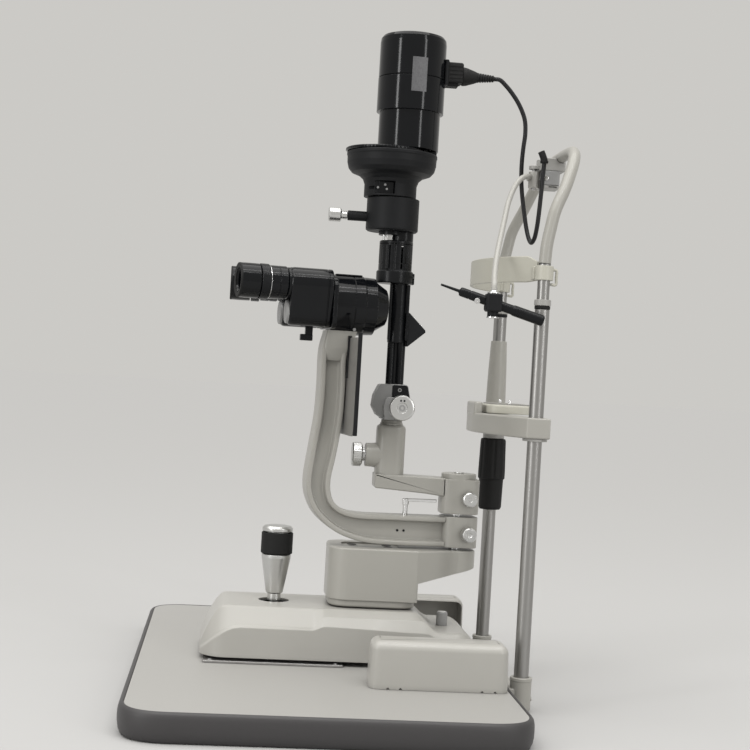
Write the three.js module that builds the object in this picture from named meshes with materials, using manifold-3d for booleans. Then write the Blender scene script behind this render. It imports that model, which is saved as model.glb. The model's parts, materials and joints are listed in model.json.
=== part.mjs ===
// Ophthalmic slit lamp on its table top, in millimetres, +Z up.
// The origin is the centre of the table top's underside. +X points at the patient.
// Inside the instrument group, X = 0 is the axis that both arms swing about and
// Z = 0 is the table's surface.

import * as THREE from 'three';
import { mergeVertices } from 'three/addons/utils/BufferGeometryUtils.js';
import Module from 'manifold-3d';

const wasm = await Module();
wasm.setup();

// Driving dimensions
const TABLE_LENGTH = 381;
const TABLE_WIDTH = 604;
const TABLE_THICKNESS = 28;
const EDGE_BAND = 5.7;
const PIVOT_X = 147;
const GAP = 0.3;
const POST_X = 57;
const POST_Y = 120;
const POST_RADIUS = 7.5;
const FRAME_RADIUS = 6.3;
const SHAFT_X = -36;
const SHAFT_Z = 18;
const WHEEL_TIP = 13.4;
const WHEEL_PITCH = 13.6;
const WHEEL_TEETH = 12;
const RAIL_Y = 149;
const BASE_HALF_WIDTH = 66;
const JOYSTICK_X = -193.6;
const BALL_Z = 22;
const COLUMN_X = -92;
const SCOPE_SWING = 6.4;
const CONVERGENCE = 6;
const SCOPE_Z = 378;
const EYE_Y = 28;
const EYE_Z = 395.6;
const TUBE_START = -206.4;
const SWIVEL_Y = 24;
const SWIVEL_Z = 366.5;
const TOWER_X = -77;
const KNOB_AXIS_X = -72;
const KNOB_AXIS_Z = 272;
const SLEEVE_X = -89;
const DIAL_X = -100;
const LAMP_X = -76.5;
const LAMP_RADIUS = 36.3;
const FIXATION_X = 3.5;
const FIXATION_Y = -138;
const CABLE_RADIUS = 2.4;

// ---------------------------------------------------------------- shape tools

// Merged, closed and facing out, with no zero-area triangles.
function closed(source) {
  const bare = new THREE.BufferGeometry();
  bare.setAttribute('position', source.getAttribute('position').clone());
  if (source.index) bare.setIndex(source.index.clone());
  const merged = mergeVertices(bare, 1e-4);
  const index = merged.index.array;
  const p = merged.getAttribute('position');
  const kept = [];
  let volume = 0;
  const [a, b, c] = [new THREE.Vector3(), new THREE.Vector3(), new THREE.Vector3()];
  for (let i = 0; i < index.length; i += 3) {
    const [i0, i1, i2] = [index[i], index[i + 1], index[i + 2]];
    if (i0 === i1 || i1 === i2 || i0 === i2) continue;
    kept.push(i0, i1, i2);
    a.fromBufferAttribute(p, i0);
    b.fromBufferAttribute(p, i1);
    c.fromBufferAttribute(p, i2);
    volume += a.dot(b.cross(c));
  }
  if (volume < 0) kept.reverse();
  merged.setIndex(kept);
  return merged;
}

function toSolid(geometry) {
  const clean = closed(geometry);
  return new wasm.Manifold(new wasm.Mesh({
    numProp: 3,
    vertProperties: new Float32Array(clean.getAttribute('position').array),
    triVerts: new Uint32Array(clean.index.array),
  }));
}

function toGeometry(solid) {
  const mesh = solid.getMesh();
  const geometry = new THREE.BufferGeometry();
  const position = new Float32Array(mesh.vertProperties);
  geometry.setAttribute('position', new THREE.BufferAttribute(position, 3));
  geometry.setIndex(new THREE.BufferAttribute(new Uint32Array(mesh.triVerts), 1));
  return geometry;
}

function join(...geometries) {
  return toGeometry(geometries.map(toSolid).reduce((whole, next) => whole.add(next)));
}

function cut(geometry, ...tools) {
  return toGeometry(tools.map(toSolid).reduce((whole, tool) => whole.subtract(tool),
    toSolid(geometry)));
}

function block(x0, x1, y0, y1, z0, z1) {
  const box = new THREE.BoxGeometry(x1 - x0, y1 - y0, z1 - z0);
  return box.translate((x0 + x1) / 2, (y0 + y1) / 2, (z0 + z1) / 2);
}

// A solid of revolution. Each profile point is [radius, distance along the axis].
function turned(profile, axis, x, y, z, sides = 16) {
  const points = profile.map(([r, h]) => new THREE.Vector2(r, h));
  const lathe = new THREE.LatheGeometry(points, sides);
  if (axis === 'z') lathe.rotateX(Math.PI / 2);
  if (axis === 'x') lathe.rotateZ(-Math.PI / 2);
  return lathe.translate(x, y, z);
}

function rod(radius, axis, x, y, z, start, end, sides = 16) {
  return turned([[0, start], [radius, start], [radius, end], [0, end]], axis, x, y, z, sides);
}

function pipe(outer, inner, axis, x, y, z, start, end, sides = 16) {
  const ring = [[inner, start], [outer, start], [outer, end], [inner, end], [inner, start]];
  return turned(ring, axis, x, y, z, sides);
}

function outline(points) {
  return new THREE.Shape(points.map(([x, y]) => new THREE.Vector2(x, y)));
}

function roundedOutline(x0, x1, y0, y1, radius) {
  const shape = new THREE.Shape();
  shape.absarc(x1 - radius, y1 - radius, radius, 0, Math.PI / 2);
  shape.absarc(x0 + radius, y1 - radius, radius, Math.PI / 2, Math.PI);
  shape.absarc(x0 + radius, y0 + radius, radius, Math.PI, Math.PI * 1.5);
  shape.absarc(x1 - radius, y0 + radius, radius, Math.PI * 1.5, Math.PI * 2);
  return shape;
}

function extruded(shape, depth, curveSegments) {
  return new THREE.ExtrudeGeometry(shape, { depth, bevelEnabled: false, curveSegments });
}

// A plan outline (x, y) made into a slab between two heights.
function slab(shape, z0, z1, curveSegments = 6) {
  return extruded(shape, z1 - z0, curveSegments).translate(0, 0, z0);
}

// A side outline (x, z) made into a plate between two depths.
function sidePlate(shape, y0, y1, curveSegments = 6) {
  return extruded(shape, y1 - y0, curveSegments).rotateX(Math.PI / 2).translate(0, y1, 0);
}

// An end outline (y, z) made into a bar between two X positions.
function endPlate(shape, x0, x1, curveSegments = 6) {
  const turn = new THREE.Matrix4().makeBasis(
    new THREE.Vector3(0, 1, 0), new THREE.Vector3(0, 0, 1), new THREE.Vector3(1, 0, 0));
  return extruded(shape, x1 - x0, curveSegments).applyMatrix4(turn).translate(x0, 0, 0);
}

// A block whose top rectangle differs from its bottom one: [x0, x1, y0, y1, z] each.
function frustum(bottom, top) {
  const box = new THREE.BoxGeometry(1, 1, 1);
  const p = box.getAttribute('position');
  for (let i = 0; i < p.count; i += 1) {
    const face = p.getZ(i) > 0 ? top : bottom;
    p.setXYZ(i, p.getX(i) > 0 ? face[1] : face[0], p.getY(i) > 0 ? face[3] : face[2], face[4]);
  }
  return box;
}

function tube(points, radius, steps, sides = 10) {
  const path = new THREE.CatmullRomCurve3(points.map((q) => new THREE.Vector3(...q)),
    false, 'centripetal');
  const ring = new THREE.Shape();
  ring.absarc(0, 0, radius, 0, Math.PI * 2);
  return new THREE.ExtrudeGeometry(ring,
    { extrudePath: path, steps, bevelEnabled: false, curveSegments: sides });
}

function mirrored(points) {
  return [...points, ...points.slice(0, -1).reverse().map(([x, y, z]) => [x, -y, z])];
}

// ---------------------------------------------------------------- materials

function finish(color, roughness, metalness) {
  return new THREE.MeshStandardMaterial({ color, roughness, metalness, flatShading: true });
}

const laminate = finish(0xb9b5ae, 0.55, 0);
const edgeGrey = finish(0x555150, 0.6, 0);
const whitePaint = finish(0xcfcdc8, 0.45, 0);
const blackGloss = finish(0x1a1a1c, 0.25, 0.1);
const blackMatt = finish(0x202022, 0.6, 0);
const silver = finish(0xb8b8b8, 0.35, 0.9);
const steel = finish(0x9a9a98, 0.3, 1);
const rubber = finish(0x151515, 0.85, 0);
const cream = finish(0xd8d6c8, 0.5, 0);
const glass = finish(0x9fb4bf, 0.1, 0);
const greyPlastic = finish(0x8d8c8a, 0.5, 0);

const slitLamp = new THREE.Group();
const instrument = new THREE.Group();
instrument.position.set(PIVOT_X, 0, TABLE_THICKNESS);
slitLamp.add(instrument);
const microscope = new THREE.Group();
microscope.rotation.z = THREE.MathUtils.degToRad(SCOPE_SWING);
instrument.add(microscope);

function place(group, name, geometry, material) {
  const mesh = new THREE.Mesh(closed(geometry), material);
  mesh.name = name;
  group.add(mesh);
}

// ---------------------------------------------------------------- table

function makeTable() {
  const [halfX, halfY] = [TABLE_LENGTH / 2, TABLE_WIDTH / 2];
  const inner = roundedOutline(-halfX + EDGE_BAND, halfX - EDGE_BAND,
    -halfY + EDGE_BAND, halfY - EDGE_BAND, 24);
  place(slitLamp, 'table_top', slab(inner, 0, TABLE_THICKNESS, 4), laminate);
  const ring = roundedOutline(-halfX, halfX, -halfY, halfY, 30);
  const hole = roundedOutline(-halfX + EDGE_BAND - GAP, halfX - EDGE_BAND + GAP,
    -halfY + EDGE_BAND - GAP, halfY - EDGE_BAND + GAP, 24 + GAP);
  ring.holes.push(hole);
  place(slitLamp, 'table_edge_band', slab(ring, 0, TABLE_THICKNESS, 4), edgeGrey);
}

function makeGuides() {
  const plate = slab(roundedOutline(-266, -120, -71, 71, 3), GAP, 2.6, 2);
  place(instrument, 'friction_plate', plate, steel);
  const pitch = 2 * Math.PI * WHEEL_PITCH / WHEEL_TEETH;
  for (const [name, centre] of [['rack_near', -RAIL_Y], ['rack_far', RAIL_Y]]) {
    const rack = [block(-96, 30, centre - 7, centre + 7, GAP, 2.4)];
    for (let x = SHAFT_X - 8 * pitch; x < 28; x += pitch) {
      const tooth = outline([[x - 2.4, 2.2], [x + 2.4, 2.2], [x + 1, 4.2], [x - 1, 4.2]]);
      rack.push(sidePlate(tooth, centre - 6, centre + 6));
    }
    place(instrument, name, join(...rack), steel);
  }
}

function makeRailCover(name, side) {
  const [inner, outer] = side > 0 ? [128, 170] : [-170, -128];
  const shell = slab(roundedOutline(-102, 36, inner, outer, 10), GAP, 47, 4);
  const [y0, y1] = side > 0 ? [131, 167] : [-167, -131];
  const cavity = slab(roundedOutline(-99, 33, y0, y1, 7), -1, 44, 3);
  const [s0, s1] = side > 0 ? [120, 140] : [-140, -120];
  const slot = block(-99, 33, s0, s1, -1, 44);
  place(instrument, name, cut(shell, cavity, slot), whitePaint);
}

// ---------------------------------------------------------------- head rest

function makeHeadrestFrame() {
  const edge = TABLE_LENGTH / 2 - PIVOT_X;
  const bracketParts = [block(edge + GAP, edge + 13, -128, 128, -25, -3)];
  const bores = [];
  for (const y of [-POST_Y, POST_Y]) {
    bracketParts.push(rod(10.3, 'z', POST_X, y, 0, -26, 8));
    bracketParts.push(block(edge + 10, POST_X, y - 8, y + 8, -25, -3));
    bores.push(rod(POST_RADIUS + GAP, 'z', POST_X, y, 0, -22, 11));
  }
  place(instrument, 'headrest_bracket', cut(join(...bracketParts), ...bores), greyPlastic);
  const post = [[0, -21.5], [POST_RADIUS, -21.5], [POST_RADIUS, 381], [8.6, 381], [8.6, 391],
    [FRAME_RADIUS, 391], [FRAME_RADIUS, 427.5], [0, 427.5]];
  place(instrument, 'post_near', turned(post, 'z', POST_X, -POST_Y, 0, 14), silver);
  place(instrument, 'post_far', turned(post, 'z', POST_X, POST_Y, 0, 14), silver);
  const arch = mirrored([[POST_X, -120, 428], [POST_X + 1, -120, 446], [61, -119.5, 464],
    [65, -118, 482], [76, -110, 508], [87, -92, 538], [91, -70, 550], [91.5, -35, 553],
    [91.5, 0, 553.5]]);
  place(instrument, 'head_frame', tube(arch, FRAME_RADIUS, 30, 4), whitePaint);
}

function makeTopBracket() {
  const hanger = block(68, 96, -13, 13, 537, 552);
  const clamp = rod(FRAME_RADIUS + GAP, 'y', 91.5, 0, 553.4, -20, 20, 12);
  const box = block(70, 90, -14, 14, 519, 538);
  const hinge = rod(6, 'z', 64, 0, 0, 539.5, 543.5, 12);
  const bridge = block(64, 72, -6, 6, 539.5, 543.5);
  const pin = rod(2.2, 'z', 64, 0, 0, 517, 541, 8);
  const clip = block(68.5, 73, -19.6, -13, 545.5, 550);
  place(instrument, 'top_bracket', cut(join(hanger, box, hinge, bridge, pin, clip), clamp),
    greyPlastic);
}

function makeForeheadBand() {
  const bulge = 147.7;
  const centreX = 2 + bulge;
  const reach = Math.asin(110 / bulge);
  const band = new THREE.Shape();
  band.absarc(centreX, 0, bulge, Math.PI - reach, Math.PI + reach);
  band.absarc(centreX, 0, bulge - 3, Math.PI + reach, Math.PI - reach, true);
  const parts = [slab(band, 409, 436, 6)];
  const bores = [];
  for (const side of [-1, 1]) {
    const y = side * POST_Y;
    parts.push(rod(9.2, 'z', POST_X, y, 0, 411, 425));
    parts.push(block(POST_X - 11, POST_X, Math.min(side * 108, side * 116),
      Math.max(side * 108, side * 116), 411, 425));
    parts.push(block(POST_X + 6, POST_X + 12.5, y - 3, y + 3, 405, 423));
    bores.push(rod(FRAME_RADIUS + GAP, 'z', POST_X, y, 0, 404, 440));
  }
  place(instrument, 'forehead_band', cut(join(...parts), ...bores), cream);
}

function makeChinRest() {
  const plan = new THREE.Shape();
  plan.moveTo(46, -134);
  plan.splineThru([[34, -112], [18, -62], [9, -24], [8, 0], [9, 24], [18, 62], [34, 112],
    [46, 134]].map(([x, y]) => new THREE.Vector2(x, y)));
  plan.lineTo(70, 134);
  plan.splineThru([[71, 106], [60, 70], [47, 32], [44, 0], [47, -32], [60, -70], [71, -106],
    [70, -134]].map(([x, y]) => new THREE.Vector2(x, y)));
  const bar = slab(plan, 250, 271, 2);
  const lip = slab(roundedOutline(8.5, 18, -26, 26, 4), 268, 283, 3);
  const bores = [-POST_Y, POST_Y].map((y) => rod(POST_RADIUS + 0.5, 'z', POST_X, y, 0, 240, 280));
  place(instrument, 'chin_bar', cut(join(bar, lip), ...bores), whitePaint);

  const cup = slab(roundedOutline(22, 74, -36, 36, 14), 271.4, 281, 4);
  const dish = turned([[0, 276], [26, 290], [0, 290]], 'z', 50, 0, 0, 12);
  place(instrument, 'chin_cup', cut(cup, dish), cream);

  const bore = POST_RADIUS + 0.5;
  const sleeve = [[bore, 271.4], [12, 271.4], [11.5, 279], [9.3, 351], [9, 353], [bore, 353],
    [bore, 271.4]];
  place(instrument, 'chin_sleeve', turned(sleeve, 'z', POST_X, POST_Y, 0, 14), whitePaint);

  const knob = [[bore, 156], [12, 156], [13.6, 160], [14, 190], [15.7, 192], [14.4, 238],
    [12.5, 239], [12.5, 249.6], [bore, 249.6], [bore, 156]];
  place(instrument, 'chin_knob', turned(knob, 'z', POST_X, POST_Y, 0, 16), blackMatt);
}

// The arm hangs from the top bracket's pin and carries the fixation lamp outside the near post.
function makeFixationLamp() {
  const arm = tube([[58.5, 0, 529], [56, -8, 530.5], [49, -15, 528], [40.5, -23, 519],
    [31, -38, 499], [23.3, -60, 475], [10.5, -101, 433], [5, -127, 409.5], [3.8, -136, 402],
    [FIXATION_X, FIXATION_Y, 396]], 3, 24, 4);
  const eye = rod(6, 'z', 64, 0, 0, 519, 537, 12);
  const bore = rod(2.6, 'z', 64, 0, 0, 510, 538, 8);
  place(instrument, 'fixation_arm', cut(join(arm, eye), bore), whitePaint);

  const tilt = new THREE.Matrix4().makeRotationY(16 * Math.PI / 180);
  const offset = new THREE.Matrix4().makeTranslation(FIXATION_X, FIXATION_Y, 383.5);
  const frame = offset.clone().multiply(tilt);
  const barrelBore = rod(5.2, 'x', 0, 0, 0, -30, 30, 10).applyMatrix4(frame);
  const body = block(FIXATION_X - 8, FIXATION_X + 8, -147, -129.6, 374.5, 393.5);
  const foot = rod(6, 'z', FIXATION_X, FIXATION_Y, 0, 368.5, 375.5, 10);
  const socket = rod(3.3, 'z', FIXATION_X, FIXATION_Y, 0, 392.5, 397.5, 8);
  const top = rod(6.6, 'z', FIXATION_X, FIXATION_Y, 0, 392.5, 395, 10);
  place(instrument, 'fixation_clamp', cut(join(body, foot, top), barrelBore, socket), blackMatt);

  const lamp = [[0, -56], [1.2, -56], [1.6, -37], [4.4, -35], [4.8, -20], [4.8, 20],
    [5.6, 22], [5.6, 53.5], [0, 53.5]];
  place(instrument, 'fixation_lamp', turned(lamp, 'x', 0, 0, 0, 10).applyMatrix4(frame),
    blackMatt);
}

// ---------------------------------------------------------------- running gear

function makeCrossShaft() {
  const sleeve = pipe(9, 6.6, 'y', SHAFT_X, 0, SHAFT_Z, -118, 118, 14);
  place(instrument, 'shaft_sleeve', sleeve, silver);
  const parts = [rod(6, 'y', SHAFT_X, 0, SHAFT_Z, -162, 162, 14)];
  const gear = new THREE.Shape();
  const root = WHEEL_TIP - 2;
  for (let i = 0; i < WHEEL_TEETH; i += 1) {
    const middle = (2 * Math.PI * (i + 0.5)) / WHEEL_TEETH;
    for (const [radius, angle] of [[root, -0.15], [WHEEL_TIP, -0.08], [WHEEL_TIP, 0.08],
      [root, 0.15]]) {
      const x = SHAFT_X + radius * Math.cos(middle + angle);
      const z = SHAFT_Z + radius * Math.sin(middle + angle);
      if (i === 0 && angle === -0.15) gear.moveTo(x, z);
      else gear.lineTo(x, z);
    }
  }
  parts.push(sidePlate(gear, -RAIL_Y - 6, -RAIL_Y + 6));
  parts.push(sidePlate(gear, RAIL_Y - 6, RAIL_Y + 6));
  place(instrument, 'cross_shaft', join(...parts), steel);
}

function makeBase() {
  const half = BASE_HALF_WIDTH;
  const skirt = slab(roundedOutline(-270, 20, -half, half, 28), 5, 37, 3);
  const crown = frustum([-267, -18, -half + 4, half - 4, 36.5], [-245, -42, -46, 46, 57]);
  const innerSkirt = slab(roundedOutline(-267, 17, -half + 3, half - 3, 25), 0, 34, 3);
  const innerCrown = frustum([-264, -21, -half + 8, half - 8, 30], [-243, -45, -43, 43, 54]);
  const stickHole = rod(16.5, 'z', JOYSTICK_X, 0, 0, 40, 70, 16);
  const columnHole = rod(15, 'z', COLUMN_X, 0, 0, 40, 70, 16);
  const knobHole = rod(3.4, 'z', -11, -8, 0, 30, 40, 8);
  const ends = rod(10.5, 'y', SHAFT_X, 0, SHAFT_Z, -80, 80, 12);
  place(instrument, 'base_cover', cut(join(skirt, crown), innerSkirt, innerCrown, stickHole,
    columnHole, knobHole, ends), whitePaint);

  const floor = slab(roundedOutline(-262, 12, -61, 61, 20), 6, 9.6, 3);
  const bearing = block(SHAFT_X - 14, SHAFT_X + 14, -60, 60, 9, 31);
  const guide = rod(20, 'z', COLUMN_X, 0, 0, 9, 50, 16);
  const yoke = pipe(30, 26, 'z', JOYSTICK_X, 0, 0, 9, 30, 14);
  const pins = [rod(1.8, 'y', JOYSTICK_X, 0, BALL_Z, -27, -19.2, 8),
    rod(1.8, 'y', JOYSTICK_X, 0, BALL_Z, 19.2, 27, 8)];
  const openings = [rod(9.4, 'y', SHAFT_X, 0, SHAFT_Z, -70, 70, 14),
    rod(14.2, 'z', COLUMN_X, 0, 0, 5, 51, 16),
    rod(15, 'z', JOYSTICK_X, 0, 0, 5, 10, 12)];
  place(instrument, 'base_chassis', cut(join(floor, bearing, guide, yoke, ...pins), ...openings),
    steel);

  const lock = [[0, 24], [2.8, 24], [2.8, 37.6], [6, 37.6], [6, 51.5], [5.2, 53], [0, 53]];
  place(instrument, 'base_lock_knob', turned(lock, 'z', -11, -8, 0, 12), blackMatt);
}

function makeJoystick() {
  const ring = pipe(18.6, 14.6, 'z', JOYSTICK_X, 0, BALL_Z, -4, 4, 14);
  const pivots = [rod(2.2, 'y', JOYSTICK_X, 0, BALL_Z, -20, 20, 8)];
  place(instrument, 'joystick_gimbal', cut(ring, ...pivots), steel);

  const stem = [[0, BALL_Z - 13], [6, BALL_Z - 11.5], [11, BALL_Z - 7], [13, BALL_Z],
    [11, BALL_Z + 7], [6, BALL_Z + 11.5], [5, 38], [5, 54], [4, 56], [4, 100], [0, 100]];
  place(instrument, 'joystick_stem', turned(stem, 'z', JOYSTICK_X, 0, 0, 12), steel);

  const handle = [[0, 103], [4.4, 103], [4.4, 56.5], [7.2, 56.5], [7.2, 65], [9.2, 66],
    [15.9, 104], [15.9, 106], [12, 107], [12, 130.4], [16.6, 131.4], [16.6, 136.6],
    [15.4, 138], [0, 138]];
  place(instrument, 'joystick_handle', turned(handle, 'z', JOYSTICK_X, 0, 0, 16), silver);

  const grip = pipe(17, 12.3, 'z', JOYSTICK_X, 0, 0, 107.5, 129.9, 16);
  place(instrument, 'joystick_grip', grip, rubber);
}

// ---------------------------------------------------------------- height-moving carrier

function makeCarrier() {
  const plan = new THREE.Shape();
  plan.moveTo(-45, -40);
  plan.lineTo(0, -22);
  plan.absarc(0, 0, 22, -Math.PI / 2, Math.PI / 2);
  plan.lineTo(-45, 40);
  plan.absarc(-117, 18, 22, Math.PI / 2, Math.PI);
  plan.absarc(-117, -18, 22, Math.PI, Math.PI * 1.5);
  const body = slab(plan, 65, 121, 8);
  const under = sidePlate(outline([[-43, 60], [-43, 86], [30, 104], [30, 60]]), -60, 60);
  const lip = slab(roundedOutline(-136, -44, -37, 37, 18), 58, 66, 5);
  const shaftBore = rod(7.3, 'z', 0, 0, 0, 100, 130, 14);
  const column = rod(13.8, 'z', COLUMN_X, 0, 0, 7, 70, 16);
  place(instrument, 'carrier', join(cut(body, under, shaftBore), lip, column), whitePaint);
  place(instrument, 'pivot_shaft', rod(7, 'z', 0, 0, 0, 100.3, 200.6, 14), steel);
}

// ---------------------------------------------------------------- microscope

function armSide(inset) {
  const side = new THREE.Shape();
  const v = (x, z) => new THREE.Vector2(x, z);
  side.moveTo(-16 - inset, 124 + inset);
  side.lineTo(-69, 124 + inset);
  side.splineThru([v(-104, 126 + inset), v(-131 + inset * 0.3, 134 + inset),
    v(-153 + inset * 0.8, 149 + inset * 0.7), v(-168 + inset, 174), v(-170 + inset, 190),
    v(-166 + inset, 228), v(-162 + inset, 260), v(-161 + inset, 330 - inset)]);
  side.lineTo(-155 + inset, 356 - inset);
  side.lineTo(-123 - inset, 356 - inset);
  side.lineTo(-134 - inset, 326 - inset);
  side.splineThru([v(-134 - inset, 292), v(-135 - inset, 255), v(-140 - inset, 216),
    v(-144 - inset, 190), v(-141 - inset * 0.8, 171 - inset * 0.4),
    v(-128 - inset * 0.3, 160 - inset), v(-106, 156.4 - inset), v(-80, 156 - inset)]);
  side.lineTo(-16 - inset, 156 - inset);
  side.closePath();
  return side;
}

function makeMicroscopeArm() {
  const whole = sidePlate(armSide(0), -15, 15, 2);
  const pockets = [sidePlate(armSide(6), -16, -7, 2), sidePlate(armSide(6), 7, 16, 2)];
  const saddle = rod(32.9, 'x', 0, 0, SCOPE_Z, -175, -100, 20);
  const boss = slab(roundedOutline(-17, 21, -19, 19, 9), 123.6, 157, 4);
  const bore = rod(7.4, 'z', 0, 0, 0, 120, 160, 14);
  const stemHole = rod(3.3, 'y', 7, 0, 139.4, -20, -8, 8);
  place(microscope, 'microscope_arm', cut(join(cut(whole, ...pockets), boss), saddle, bore,
    stemHole), whitePaint);
  place(microscope, 'microscope_lock_knob', lockKnob(7, 139.4), silver);
  const plate = endPlate(outline([[-64, 243], [64, 243], [64, 343], [20, 343], [20, 320],
    [-20, 320], [-20, 343], [-64, 343]]), -133, -131);
  const lip = block(-132, -125.6, -65, -63, 246, 340);
  const lug = block(-133.7, -132, -6, 6, 300, 312);
  place(microscope, 'breath_shield', join(plate, lip, lug), glass);
}

function lockKnob(x, z) {
  return turned([[0, -34], [7.2, -34], [8, -33], [8, -23], [5, -22.4], [5, -19.6], [2.9, -19.4],
    [2.9, -8.4], [0, -8.4]], 'y', x, 0, z, 24);
}

function makeMicroscopeBody() {
  const drum = [[0, -154], [31, -154], [32, -152.5], [32, -120], [31, -118.5], [30.4, -106.4],
    [27, -106], [19, -92.5], [15, -92.5], [15, -100], [0, -100]];
  const swivels = [-1, 1].map((side) => rod(8, 'x', 0, side * SWIVEL_Y, SWIVEL_Z, -172, -150, 12));
  const wall = endPlate(roundedOutline(-44, 44, 351, 404, 12), -157, -153, 3);
  place(microscope, 'microscope_body', join(turned(drum, 'x', 0, 0, SCOPE_Z, 18), wall,
    ...swivels), blackGloss);
  const lens = turned([[0, -99.6], [14.6, -99.6], [14.6, -97], [0, -94.5]], 'x', 0, 0, SCOPE_Z, 14);
  place(microscope, 'objective_lens', lens, glass);
  const lever = join(rod(3, 'x', 0, 0, 356, -178, -157.4, 8), block(-179, -170, -3, 3, 339, 357),
    block(-184, -170, -3.5, 3.5, 337.6, 344.6));
  place(microscope, 'magnification_lever', lever, blackMatt);
}

// Outline round an upper circle on the eyepiece axis and a lower one on the swivel axis.
function housingOutline(side) {
  const [upper, lower] = [17.5, 14.5];
  const dy = side * (EYE_Y - SWIVEL_Y);
  const dz = EYE_Z - SWIVEL_Z;
  const lean = Math.atan2(dy, dz);
  const flare = Math.asin((upper - lower) / Math.hypot(dy, dz));
  const shape = new THREE.Shape();
  shape.absarc(side * EYE_Y, EYE_Z, upper, -lean - flare, Math.PI - lean + flare);
  shape.absarc(side * SWIVEL_Y, SWIVEL_Z, lower, Math.PI - lean + flare,
    Math.PI * 2 - lean - flare);
  return shape;
}

function makeEyepiece(name, side) {
  const y = side * EYE_Y;
  const lean = (geometry) => geometry.translate(-TUBE_START, -y, 0)
    .rotateZ(THREE.MathUtils.degToRad(-side * CONVERGENCE)).translate(TUBE_START, y, 0);
  const swivel = rod(8.4, 'x', 0, side * SWIVEL_Y, SWIVEL_Z, -173, -150, 12);
  const cap = rod(11.5, 'x', 0, side * SWIVEL_Y, SWIVEL_Z, -211.5, -201, 14);
  const tubeSeat = lean(rod(16.5, 'x', 0, y, EYE_Z, -206.2, -198, 16));
  place(microscope, `prism_housing_${name}`, cut(join(endPlate(housingOutline(side), -202, -157.6,
    5), cap, tubeSeat), swivel), blackGloss);
  const barrel = [[0, -247], [12.5, -247], [12.5, -254], [15.5, -257], [17.8, -257], [18.2, -247],
    [18.2, -236], [13, -235.6], [13, -225.4], [17.4, -225], [17.4, -206.6], [0, -206.6]];
  place(microscope, `eyepiece_${name}`, lean(turned(barrel, 'x', 0, y, EYE_Z, 18)), blackGloss);
  const ring = lean(pipe(18.6, 13.4, 'x', 0, y, EYE_Z, -235, -226, 18));
  place(microscope, `dioptre_ring_${name}`, ring, blackMatt);
}

// ---------------------------------------------------------------- illumination

function makeIlluminationArm() {
  const side = new THREE.Shape();
  side.moveTo(-93, 186);
  side.lineTo(-38, 181.5);
  side.lineTo(-16, 178);
  side.lineTo(-16, 197.5);
  side.lineTo(-60, 197.5);
  side.absarc(-60, 204, 6.5, -Math.PI / 2, -Math.PI, true);
  side.lineTo(-61, 250);
  side.lineTo(-92, 250);
  side.closePath();
  const beam = sidePlate(side, -15, 15, 5);
  const head = slab(roundedOutline(-20, 22, -19, 19, 9), 160, 197.5, 4);
  const cap = rod(18.5, 'z', 0, 0, 0, 197, 203.4, 16);
  const neck = rod(11.4, 'z', TOWER_X, 0, 0, 249, 257.6, 14);
  const boss = rod(13, 'x', 0, 0, 218.5, -104, -90, 16);
  const bore = rod(7.4, 'z', 0, 0, 0, 158, 201.2, 14);
  const neckBore = rod(5, 'z', TOWER_X, 0, 0, 238, 260, 10);
  const knobBore = rod(4.4, 'x', 0, 0, 218.5, -106, -84, 10);
  const stemHole = rod(3.3, 'y', 9, 0, 177.3, -20, -8, 8);
  place(instrument, 'illumination_arm', cut(join(beam, head, cap, neck, boss), bore, neckBore,
    knobBore, stemHole), whitePaint);
  place(instrument, 'illumination_lock_knob', lockKnob(9, 177.3), silver);
  const knob = [[0, -118.3], [12, -118.3], [13, -117], [13, -107.6], [11, -107], [11, -104.4],
    [4, -104.4], [4, -86], [0, -86]];
  place(instrument, 'centring_knob', turned(knob, 'x', 0, 0, 218.5, 16), silver);
}

function makeTowerFork() {
  const parts = [rod(4.6, 'z', TOWER_X, 0, 0, 240, 259, 10), block(-88, -66, -27, 27, 258, 260.6)];
  for (const y of [-27, 21.5]) {
    parts.push(block(-87, -66, y, y + 5.5, 260, 272));
    parts.push(rod(10.5, 'y', KNOB_AXIS_X, 0, KNOB_AXIS_Z, y, y + 5.5, 14));
  }
  const bore = rod(4.5, 'y', KNOB_AXIS_X, 0, KNOB_AXIS_Z, -40, 40, 10);
  place(instrument, 'tower_fork', cut(join(...parts), bore), greyPlastic);
}

function makeTower() {
  const bore = rod(4.5, 'y', KNOB_AXIS_X, 0, KNOB_AXIS_Z, -40, 40, 10);
  const parts = [rod(10.8, 'y', KNOB_AXIS_X, 0, KNOB_AXIS_Z, -20.6, 20.6, 14),
    block(-90, -63.5, -20.6, 20.6, 271, 296),
    rod(4.3, 'z', TOWER_X - 5, 0, 0, 290, 345, 10),
    rod(4.9, 'z', TOWER_X + 5.4, 0, 0, 290, 345, 10),
    rod(10, 'z', TOWER_X, 0, 0, 341, 408, 14),
    rod(20, 'z', -83, 0, 0, 405, 418.4, 18),
    block(-66, -61.5, -4, 4, 405, 417),
    rod(18.8, 'z', -83, 0, 0, 418, 451, 18),
    rod(12, 'z', TOWER_X, 0, 0, 450, 460.4, 14),
    rod(14, 'z', SLEEVE_X, 0, 0, 457, 497, 16)];
  place(instrument, 'tower_column', cut(join(...parts), bore), blackMatt);
  const mirror = sidePlate(outline([[-66.6, 372], [-49, 354], [-66.6, 339]]), -8, 8);
  place(instrument, 'mirror', mirror, glass);
  const shaftAndKnobs = join(rod(4, 'y', KNOB_AXIS_X, 0, KNOB_AXIS_Z, -50, 50, 10),
    ...[-1, 1].map((side) => turned([[0, 30], [7, 30], [7, 40], [13.4, 41], [13.4, 51],
      [12.4, 52], [0, 52]].map(([r, h]) => [r, side * h]), 'y', KNOB_AXIS_X, 0, KNOB_AXIS_Z)));
  place(instrument, 'slit_width_knobs', shaftAndKnobs, silver);
}

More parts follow.
